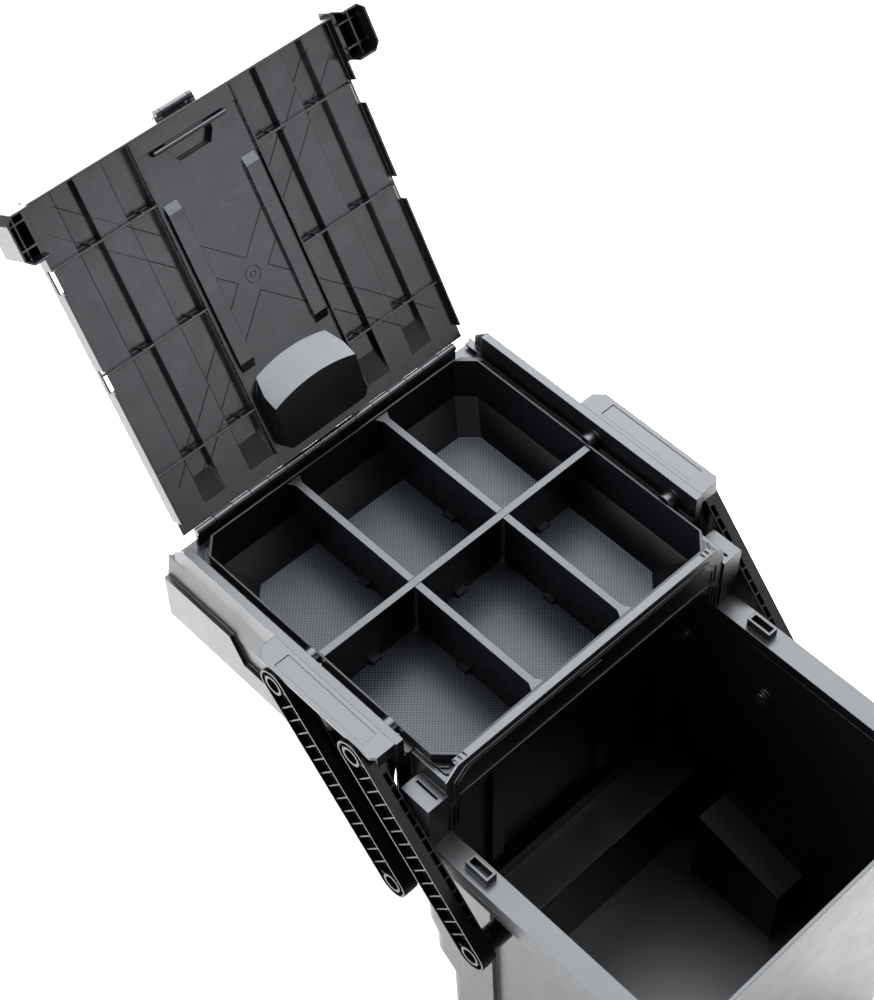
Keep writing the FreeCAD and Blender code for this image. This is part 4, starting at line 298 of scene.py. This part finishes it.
# Moulded plastic: its noises
FLOW_MARKS = {"scale": 9, "detail": 3, "stretch": (1, 1, 0.35)}
CLOUDS = {"scale": 38, "detail": 4}
FINE_GRAIN = {"scale": 900, "detail": 2}
SIDEWAYS_SCUFFS = {"scale": 26, "detail": 5, "stretch": (1, 7, 1.6), "roughness": 0.62}
LENGTHWAYS_SCUFFS = {"scale": 31, "detail": 5, "stretch": (6, 1, 1.3), "roughness": 0.62}
SCUFFED_AREAS = {"scale": 5, "detail": 1}
# Spots that vary how far the edges are made lighter, partly as rubbing and partly as a painted highlight
WORN_AND_HIGHLIT_SPOTS = {"scale": 60, "detail": 3}
SIDEWAYS_LIMIT, LENGTHWAYS_LIMIT, SCUFF_BAND = 0.63, 0.655, 0.05
AREA_LIMIT, AREA_BAND = 0.5, 0.2

# Moulded plastic: shades of its colour, and how far each of them shows; the worn shade makes the edges
# lighter partly as rubbing and partly as a painted highlight, and the relief shade is a painted highlight on
# the raised squares
DARK_SHADE, LIGHT_SHADE, SCUFF_SHADE, WORN_AND_HIGHLIT_SHADE, RELIEF_HIGHLIGHT_SHADE = 0.86, 1.22, 2.6, 3.6, 16
CLOUD_SHARE, FLOW_SHARE, SCUFF_SHARE = 0.55, 0.35, 0.08
# How far the edges are made lighter, partly as rubbing and partly as a painted highlight, and the part of
# that which is even rather than spotted
EDGE_WEAR_AND_HIGHLIGHT = 0.35
EVEN_WEAR_AND_HIGHLIGHT = 0.35

# Moulded plastic: what the marks add to its roughness, less what the noises add on average
CLOUD_ROUGHNESS, FLOW_ROUGHNESS, SCUFF_ROUGHNESS = 0.10, 0.06, 0.03
EDGE_POLISH = 0.05
NOISE_AVERAGE = 0.07

# Moulded plastic: its reliefs
GRAIN_DEPTH = 0.00006
CLOUD_HEIGHT = 0.4
RELIEF_DEPTH = 0.0008


def moulded(name, colour, settings, rougher=0.0, shine=0.55, sharper=1, relief_and_highlight=None):
    """Moulded plastic: satin grain, flow marks, scuffs, edges made lighter partly as rubbing and partly as a
    painted highlight, and a relief if it has one, with a painted highlight on its raised parts.
    """
    finish = Finish(name)
    rounded = finish.rounded(settings.edge / sharper)
    edge = finish.edges(rounded)
    flow = finish.noise(**FLOW_MARKS)
    cloud = finish.noise(**CLOUDS)
    fine = finish.noise(**FINE_GRAIN)
    sideways = finish.noise(**SIDEWAYS_SCUFFS).above(SIDEWAYS_LIMIT, SCUFF_BAND)
    lengthways = finish.noise(**LENGTHWAYS_SCUFFS).above(LENGTHWAYS_LIMIT, SCUFF_BAND)
    areas = finish.noise(**SCUFFED_AREAS).above(AREA_LIMIT, AREA_BAND)
    scuffs = sideways.math("MAXIMUM", lengthways) * areas
    # Edges made lighter: partly rubbing, partly a painted highlight where light would catch the rounded edges
    wear_and_edge_highlight = edge * (EVEN_WEAR_AND_HIGHLIGHT + finish.noise(**WORN_AND_HIGHLIT_SPOTS) * (1 - EVEN_WEAR_AND_HIGHLIGHT)) * EDGE_WEAR_AND_HIGHLIGHT
    base = finish.blend(cloud * CLOUD_SHARE + flow * FLOW_SHARE,
                        shade(colour, DARK_SHADE), shade(colour, LIGHT_SHADE))
    base = finish.blend(wear_and_edge_highlight, base, shade(colour, WORN_AND_HIGHLIT_SHADE))
    base = finish.blend(scuffs * SCUFF_SHARE, base, shade(colour, SCUFF_SHADE))
    normal = finish.bump(fine + cloud * CLOUD_HEIGHT, GRAIN_DEPTH, rounded)
    if relief_and_highlight is not None:
        raised_and_highlit = relief_and_highlight(finish)
        # The raised squares are painted lighter: a painted highlight where the grain would catch light
        base = finish.blend(raised_and_highlit, base, shade(colour, RELIEF_HIGHLIGHT_SHADE))
        normal = finish.bump(raised_and_highlit, RELIEF_DEPTH, normal)
    finish.set("Base Color", base)
    finish.set("Roughness", settings.roughness + rougher - NOISE_AVERAGE + cloud * CLOUD_ROUGHNESS
               + flow * FLOW_ROUGHNESS - edge * EDGE_POLISH + scuffs * SCUFF_ROUGHNESS)
    finish.set("Specular IOR Level", shine)
    finish.set("Specular Tint", (*settings.tint, 1))
    finish.set("Normal", normal)
    return finish.material


# The tray's floor: where the squares of its grain begin, how level it is, and how far it reaches up
SQUARE_LIMIT, SQUARE_BAND = 0.0, 0.35
LEVEL_LIMIT, LEVEL_BAND = 0.9, 0.1
FLOOR_REACH, FLOOR_BAND = 0.001, 0.0008


def crossed_grain(settings):
    """Relief of small squares on the tray's level floor, which are also painted lighter as a painted
    highlight.
    """
    pitch = settings.grain
    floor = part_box("long_divider")[0][2]

    # The field is both the height of the raised squares and the mask of the painted highlight on them
    def relief_and_highlight(finish):
        crossing = finish.axis("X").wave(pitch) * finish.axis("Y").wave(pitch)
        squares = crossing.above(SQUARE_LIMIT, SQUARE_BAND)
        level = finish.facing("Z").above(LEVEL_LIMIT, LEVEL_BAND)
        low = 1 - finish.axis("Z").above(floor + FLOOR_REACH, FLOOR_BAND)
        return squares * level * low

    return relief_and_highlight


# Drawn metal: its noises, the ways that it is drawn, its shades and their shares, its roughness and edges
DRAWN_LINES = {"scale": 420, "detail": 3}
STAINS = {"scale": 45, "detail": 4}
DRAWN_SIDEWAYS, DRAWN_UPRIGHT = (0.02, 1, 1), (1, 1, 0.02)
STAINED_SHADE, BRIGHT_SHADE = 0.72, 1.15
STAIN_SHARE, LINE_SHARE = 0.5, 0.3
STAIN_ROUGHNESS, LINE_ROUGHNESS = 0.08, 0.12
LINE_DEPTH = 0.00003
METAL_EDGE = 0.0004


def brushed(name, colour, roughness, drawn):
    """Bare metal drawn along one axis, with fine lines and a few darker stains."""
    finish = Finish(name)
    lines = finish.noise(stretch=drawn, **DRAWN_LINES)
    stain = finish.noise(**STAINS)
    finish.set("Metallic", 1.0)
    finish.set("Base Color", finish.blend(stain * STAIN_SHARE + lines * LINE_SHARE,
                                          shade(colour, STAINED_SHADE), shade(colour, BRIGHT_SHADE)))
    finish.set("Roughness", roughness + lines * LINE_ROUGHNESS + stain * STAIN_ROUGHNESS)
    finish.set("Normal", finish.bump(lines, LINE_DEPTH, finish.rounded(METAL_EDGE)))
    return finish.material


# Rubber: its noises, its shades and how far they show, its roughness, grain and edges
RUBBER_CLOUDS = {"scale": 60, "detail": 4}
DUST = {"scale": 14, "detail": 4}
RUBBER_GRAIN = {"scale": 700, "detail": 2}
DUST_LIMIT, DUST_BAND = 0.52, 0.3
CLEAN_SHADE, DUSTY_SHADE = 0.8, 2.1
RUBBER_SHARE = 0.4
RUBBER_ROUGHNESS, RUBBER_CLOUD_ROUGHNESS = 0.72, 0.14
RUBBER_GRAIN_DEPTH = 0.0001
RUBBER_EDGE = 0.0008

# The tyres' tread: the bars across it, the grooves round it, and how far both reach in from its outside
TREAD_BARS = 36
BAR_LIMIT, BAR_BAND = 0.55, 0.25
GROOVE_PITCH = 0.0095
GROOVE_LIMIT, GROOVE_BAND = -0.72, 0.16
BAR_REACH, GROOVE_REACH, REACH_BAND = 0.006, 0.003, 0.001
BAR_HEIGHT = 0.6
TREAD_DEPTH = 0.0012


def rubber(name, colour, tyre=None):
    """Dull rubber; a tyre, given as its middle's y and z and its radius, has a tread."""
    finish = Finish(name)
    cloud = finish.noise(**RUBBER_CLOUDS)
    dust = finish.noise(**DUST).above(DUST_LIMIT, DUST_BAND)
    finish.set("Base Color", finish.blend(cloud * RUBBER_SHARE + dust * RUBBER_SHARE,
                                          shade(colour, CLEAN_SHADE), shade(colour, DUSTY_SHADE)))
    finish.set("Roughness", RUBBER_ROUGHNESS + cloud * RUBBER_CLOUD_ROUGHNESS)
    normal = finish.bump(finish.noise(**RUBBER_GRAIN), RUBBER_GRAIN_DEPTH, finish.rounded(RUBBER_EDGE))
    if tyre is not None:
        middle_y, middle_z, radius = tyre
        y = finish.axis("Y") - middle_y
        z = finish.axis("Z") - middle_z
        reach = (y * y + z * z).math("SQRT")
        turn = y.math("ARCTAN2", z)
        bars = (turn * TREAD_BARS).math("SINE").above(BAR_LIMIT, BAR_BAND)
        bars = bars * reach.above(radius - BAR_REACH, REACH_BAND)
        grooves = finish.axis("X").wave(GROOVE_PITCH).above(GROOVE_LIMIT, GROOVE_BAND)
        grooves = grooves * reach.above(radius - GROOVE_REACH, REACH_BAND)
        normal = finish.bump(grooves - bars * BAR_HEIGHT, TREAD_DEPTH, normal)
    finish.set("Normal", normal)
    return finish.material


# Raised lines on the lid's underside

def lid_point(across, along, out):
    """A place on the lid: across it, along it from the hinge line, and out from its underside."""
    return HINGE + Vector((across, 0, 0)) + LID_ALONG * along + LID_OUT * out


def lid_paths(settings):
    """The lines that bound the cross's four arms, each from its tip to its end, as (across, along)."""
    half = settings.cross_width / 2
    lean = settings.cross_lean
    middle = settings.cross_middle
    low, high = settings.cross_low, settings.cross_high
    side = settings.cross_reach
    paths = []
    for sign in (-1, 1):
        tip = (0, middle + sign * half / math.cos(lean))
        limit = high if sign > 0 else low
        reach = min(side, abs(limit - tip[1]) / math.tan(lean))
        for way in (-1, 1):
            paths.append((tip, (way * reach, tip[1] + sign * reach * math.tan(lean))))
        tip = (sign * half / math.sin(lean), middle)
        for way in (-1, 1):
            limit = high if way > 0 else low
            reach = min(side - abs(tip[0]), abs(limit - middle) / math.tan(lean))
            paths.append((tip, (tip[0] + sign * reach, middle + way * reach * math.tan(lean))))
    return paths


# A bead's outline as parts of its width and height, with its foot let into the lid
BEAD_OUTLINE = ((-0.5, -0.3), (-0.36, 0.7), (0, 1), (0.36, 0.7), (0.5, -0.3))

# The fewest places that a bead is laid through, the sides of a ring, and what the wide ring's height is
# divided by
LEAST_PLACES = 4
RING_SIDES = 48
DISC_LOWER = 3


def bead_run(mesh, rings, width, height):
    """Adds one bead through its rings, each a middle point with its side and outward directions."""
    rows = []
    for middle, side, out in rings:
        places = [middle + side * (x * width) + out * (y * height) for x, y in BEAD_OUTLINE]
        rows.append([mesh.verts.new(place) for place in places])
    for first, second in zip(rows, rows[1:]):
        for index in range(len(BEAD_OUTLINE)):
            after = (index + 1) % len(BEAD_OUTLINE)
            mesh.faces.new((first[index], first[after], second[after], second[index]))
    mesh.faces.new(list(reversed(rows[0])))
    mesh.faces.new(rows[-1])


def touch(skin, across, along, start):
    """Where a ray from outside meets the lid's skin, or None."""
    return skin.ray_cast(lid_point(across, along, start), -LID_OUT, 2 * start)[0]


def laid_runs(skin, first, last, settings):
    """A straight line laid on the skin, as the runs between the ribs, bars and recess that break it."""
    start, step = settings.cross_start, settings.cross_step
    way = Vector((last[0] - first[0], last[1] - first[1], 0))
    count = int(way.length / step)
    way.normalize()
    side = Vector((-way.y, 0, 0)) + LID_ALONG * way.x
    runs = [[]]
    for index in range(count + 1):
        across, along = first[0] + way.x * step * index, first[1] + way.y * step * index
        hit = touch(skin, across, along, start)
        out = (hit - lid_point(across, along, 0)).dot(LID_OUT) if hit is not None else start
        if out > settings.cross_proud:
            runs.append([])
        else:
            runs[-1].append((hit, side, LID_OUT))
    return [run for run in runs if len(run) >= LEAST_PLACES]


def circle(middle, radius):
    """The rings of a bead that runs once round a point of the lid."""
    turns = [2 * math.pi * index / RING_SIDES for index in range(RING_SIDES + 1)]
    spokes = [Vector((math.cos(turn), 0, 0)) + LID_ALONG * math.sin(turn) for turn in turns]
    return [(middle + spoke * radius, spoke, LID_OUT) for spoke in spokes]


def lid_lines(settings):
    """The cross's outlines and the two rings at its middle, as beads on the lid's skin."""
    lid = frame["nodes"]["lid"].data
    corners = [corner.co for corner in lid.vertices]
    skin = BVHTree.FromPolygons(corners, [face.vertices for face in lid.polygons])
    width, height = settings.line_width, settings.line_height
    mesh = bmesh.new()
    for first, last in lid_paths(settings):
        for run in laid_runs(skin, first, last, settings):
            bead_run(mesh, run, width, height)
    middle = touch(skin, 0, settings.cross_middle, settings.cross_start)
    bead_run(mesh, circle(middle, settings.hub_ring), width, height)
    bead_run(mesh, circle(middle, settings.hub_disc), width, height / DISC_LOWER)
    bmesh.ops.recalc_face_normals(mesh, faces=mesh.faces)
    data = bpy.data.meshes.new("lid_cross_lines")
    mesh.to_mesh(data)
    mesh.free()
    lines = bpy.data.objects.new("lid_cross_lines", data)
    bpy.context.collection.objects.link(lines)
    return lines


def dress(material, *nodes):
    """Gives the named pieces one material."""
    for name in nodes:
        piece = frame["nodes"][name]
        piece.data.materials.clear()
        piece.data.materials.append(material)


# Operators, one for each group of like pieces

class JOBBOX_OT_bin(bpy.types.Operator):
    """Finish the bin, its rails and its front foot"""
    bl_idname = "jobbox.bin"
    bl_label = "Finish the bin"

    def execute(self, context):
        settings = context.scene.job_box_finish
        material = moulded("bin_plastic", settings.plastic, settings, rougher=0.02)
        dress(material, "bin_shell", "left_rail", "right_rail", "front_foot", "handle_housing")
        dress(rubber("foot_rubber", settings.rubber), "foot_strip")
        return {"FINISHED"}


class JOBBOX_OT_tray(bpy.types.Operator):
    """Finish the tray, its tub and its dividers"""
    bl_idname = "jobbox.tray"
    bl_label = "Finish the tray"

    def execute(self, context):
        settings = context.scene.job_box_finish
        dress(moulded("tray_plastic", settings.plastic, settings), "tray_frame", "latch_keeper")
        tub = moulded("tub_plastic", settings.plastic, settings, rougher=0.03, shine=0.32,
                      relief_and_highlight=crossed_grain(settings))
        dress(tub, "tray_tub")
        divider = moulded("divider_plastic", settings.plastic, settings, rougher=-0.03, shine=0.45, sharper=2)
        dress(divider, "long_divider", "front_left_divider", "front_right_divider", "rear_left_divider",
              "rear_right_divider")
        return {"FINISHED"}


class JOBBOX_OT_lid(bpy.types.Operator):
    """Finish the lid and the bar under its front"""
    bl_idname = "jobbox.lid"
    bl_label = "Finish the lid"

    def execute(self, context):
        settings = context.scene.job_box_finish
        material = moulded("lid_plastic", settings.plastic, settings, rougher=-0.02)
        dress(material, "lid", "lid_crossbar")
        lines = lid_lines(settings)
        lines.data.materials.append(material)
        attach(lines, "lid")
        return {"FINISHED"}


class JOBBOX_OT_grips(bpy.types.Operator):
    """Finish the hand grips, the latch and the release button"""
    bl_idname = "jobbox.grips"
    bl_label = "Finish the grips"

    def execute(self, context):
        settings = context.scene.job_box_finish
        material = moulded("grip_plastic", settings.grip, settings, rougher=-0.05)
        dress(material, "left_side_grip", "right_side_grip", "handle_grip", "lid_latch")
        button = moulded("button_plastic", shade(settings.grip, factor=0.7), settings, rougher=0.03)
        dress(button, "handle_button")
        return {"FINISHED"}


class JOBBOX_OT_arms(bpy.types.Operator):
    """Finish the four arms"""
    bl_idname = "jobbox.arms"
    bl_label = "Finish the arms"

    def execute(self, context):
        settings = context.scene.job_box_finish
        material = moulded("arm_plastic", shade(settings.plastic, factor=0.8), settings, shine=0.24)
        dress(material, "left_front_arm", "left_rear_arm", "right_front_arm", "right_rear_arm")
        return {"FINISHED"}


class JOBBOX_OT_wheels(bpy.types.Operator):
    """Finish the wheels and what holds them on the axle"""
    bl_idname = "jobbox.wheels"
    bl_label = "Finish the wheels"

    def execute(self, context):
        settings = context.scene.job_box_finish
        low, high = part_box("left_tyre")
        middle_y, middle_z, radius = (low[1] + high[1]) / 2, (low[2] + high[2]) / 2, (high[2] - low[2]) / 2
        dress(rubber("tyre_rubber", settings.rubber, tyre=(middle_y, middle_z, radius)),
              "left_tyre", "right_tyre")
        dress(moulded("hub_plastic", settings.grip, settings),
              "left_hub", "right_hub", "axle_caps", "axle_spacers")
        return {"FINISHED"}


class JOBBOX_OT_metal(bpy.types.Operator):
    """Finish the pins, the axle and the pull handle's tubes"""
    bl_idname = "jobbox.metal"
    bl_label = "Finish the metal"

    def execute(self, context):
        settings = context.scene.job_box_finish
        steel = brushed("steel", settings.steel, roughness=0.30, drawn=DRAWN_SIDEWAYS)
        dress(steel, "axle", "hinge_rod", "latch_pin", "lower_pivot_pins", "upper_pivot_pins",
              "housing_screws")
        aluminium = brushed("tube_aluminium", settings.aluminium, roughness=0.28, drawn=DRAWN_UPRIGHT)
        dress(aluminium, "handle_sleeves", "handle_middle_tubes", "handle_inner_tubes")
        return {"FINISHED"}


# The studio, in metres: its floor lies a little under the wheels, and its lights all face one point
FLOOR_SIZE = 60
FLOOR_DROP = 0.0005
FLOOR_ROUGHNESS, FLOOR_SHINE = 0.9, 0.1
LIT_POINT = Vector((0.0, 0.35, 0.5))

# Each softbox: its name, its power in the stage's settings, its place, and its width and height
SOFTBOXES = (
    ("key_light", "key", (0.95, 1.15, 2.55), (2.8, 3.2)),
    ("side_light", "side", (-2.8, 0.95, 1.15), (3.6, 2.4)),
    ("back_light", "back", (1.3, 3.4, 1.1), (3.2, 1.8)),
    ("front_light", "front", (1.5, -2.6, 1.65), (1.9, 1.2)),
)

# Width of the camera's sensor in millimetres, which the lens was found for
SENSOR_WIDTH = 36


class JOBBOX_OT_stage(bpy.types.Operator):
    """Set up the floor, the lights and the camera"""
    bl_idname = "jobbox.stage"
    bl_label = "Set up the stage"

    def execute(self, context):
        stage = context.scene.job_box_stage
        self.floor(stage)
        self.lights(context, stage)
        self.camera(context, stage)
        return {"FINISHED"}

    def floor(self, stage):
        bpy.ops.mesh.primitive_plane_add(size=FLOOR_SIZE, location=(0, 0, -FLOOR_DROP))
        plane = bpy.context.active_object
        plane.name = "studio_floor"
        finish = Finish("studio_floor")
        finish.set("Base Color", (*stage.floor, 1))
        finish.set("Roughness", FLOOR_ROUGHNESS)
        finish.set("Specular IOR Level", FLOOR_SHINE)
        plane.data.materials.append(finish.material)

    def lights(self, context, stage):
        world = bpy.data.worlds.new("studio_sky")
        world.use_nodes = True
        background = world.node_tree.nodes["Background"]
        background.inputs["Color"].default_value = (1, 1, 1, 1)
        background.inputs["Strength"].default_value = stage.sky
        context.scene.world = world
        for name, power, place, size in SOFTBOXES:
            self.softbox(name, Vector(place), size, getattr(stage, power))

    def softbox(self, name, place, size, power):
        lamp = bpy.data.lights.new(name, "AREA")
        lamp.shape = "RECTANGLE"
        lamp.size, lamp.size_y = size
        lamp.energy = power
        holder = bpy.data.objects.new(name, lamp)
        holder.location = place
        holder.rotation_euler = (LIT_POINT - place).to_track_quat("-Z", "Y").to_euler()
        bpy.context.collection.objects.link(holder)

    def camera(self, context, stage):
        right = Vector((math.cos(stage.azimuth), math.sin(stage.azimuth), 0))
        back = Vector((math.cos(stage.elevation) * math.sin(stage.azimuth),
                       -math.cos(stage.elevation) * math.cos(stage.azimuth), math.sin(stage.elevation)))
        up = back.cross(right)
        turned_right = right * math.cos(stage.roll) + up * math.sin(stage.roll)
        turned_up = up * math.cos(stage.roll) - right * math.sin(stage.roll)
        lens = bpy.data.cameras.new("photo_camera")
        lens.sensor_width = SENSOR_WIDTH
        lens.lens = stage.lens
        eye = bpy.data.objects.new("photo_camera", lens)
        turn = Matrix((turned_right, turned_up, back)).transposed().to_4x4()
        eye.matrix_world = Matrix.Translation(Vector(stage.eye)) @ turn
        bpy.context.collection.objects.link(eye)
        context.scene.camera = eye
        context.scene.view_settings.view_transform = "Standard"
        context.scene.view_settings.look = "Medium High Contrast"


class JOBBOX_PT_panel(bpy.types.Panel):
    """Lists the sizes, the colours and the steps that finish the job box"""
    bl_label = "Rolling job box"
    bl_space_type = "VIEW_3D"
    bl_region_type = "UI"
    bl_category = "Job box"

    def draw(self, context):
        for operator in OPERATORS:
            self.layout.operator(operator.bl_idname)
        for group in (context.scene.job_box_finish, context.scene.job_box_stage):
            column = self.layout.column()
            for name in group.__annotations__:
                column.prop(group, name)


OPERATORS = (JOBBOX_OT_bin, JOBBOX_OT_tray, JOBBOX_OT_lid, JOBBOX_OT_grips, JOBBOX_OT_arms, JOBBOX_OT_wheels,
             JOBBOX_OT_metal, JOBBOX_OT_stage)
CLASSES = (JobBoxFinish, JobBoxStage) + OPERATORS + (JOBBOX_PT_panel,)


def register():
    for item in CLASSES:
        bpy.utils.register_class(item)
    bpy.types.Scene.job_box_finish = bpy.props.PointerProperty(type=JobBoxFinish)
    bpy.types.Scene.job_box_stage = bpy.props.PointerProperty(type=JobBoxStage)


def unregister():
    del bpy.types.Scene.job_box_stage
    del bpy.types.Scene.job_box_finish
    for item in reversed(CLASSES):
        bpy.utils.unregister_class(item)


def main():
    register()
    bpy.ops.jobbox.bin()
    bpy.ops.jobbox.tray()
    bpy.ops.jobbox.lid()
    bpy.ops.jobbox.grips()
    bpy.ops.jobbox.arms()
    bpy.ops.jobbox.wheels()
    bpy.ops.jobbox.metal()
    bpy.ops.jobbox.stage()


if __name__ == "__main__":
    main()
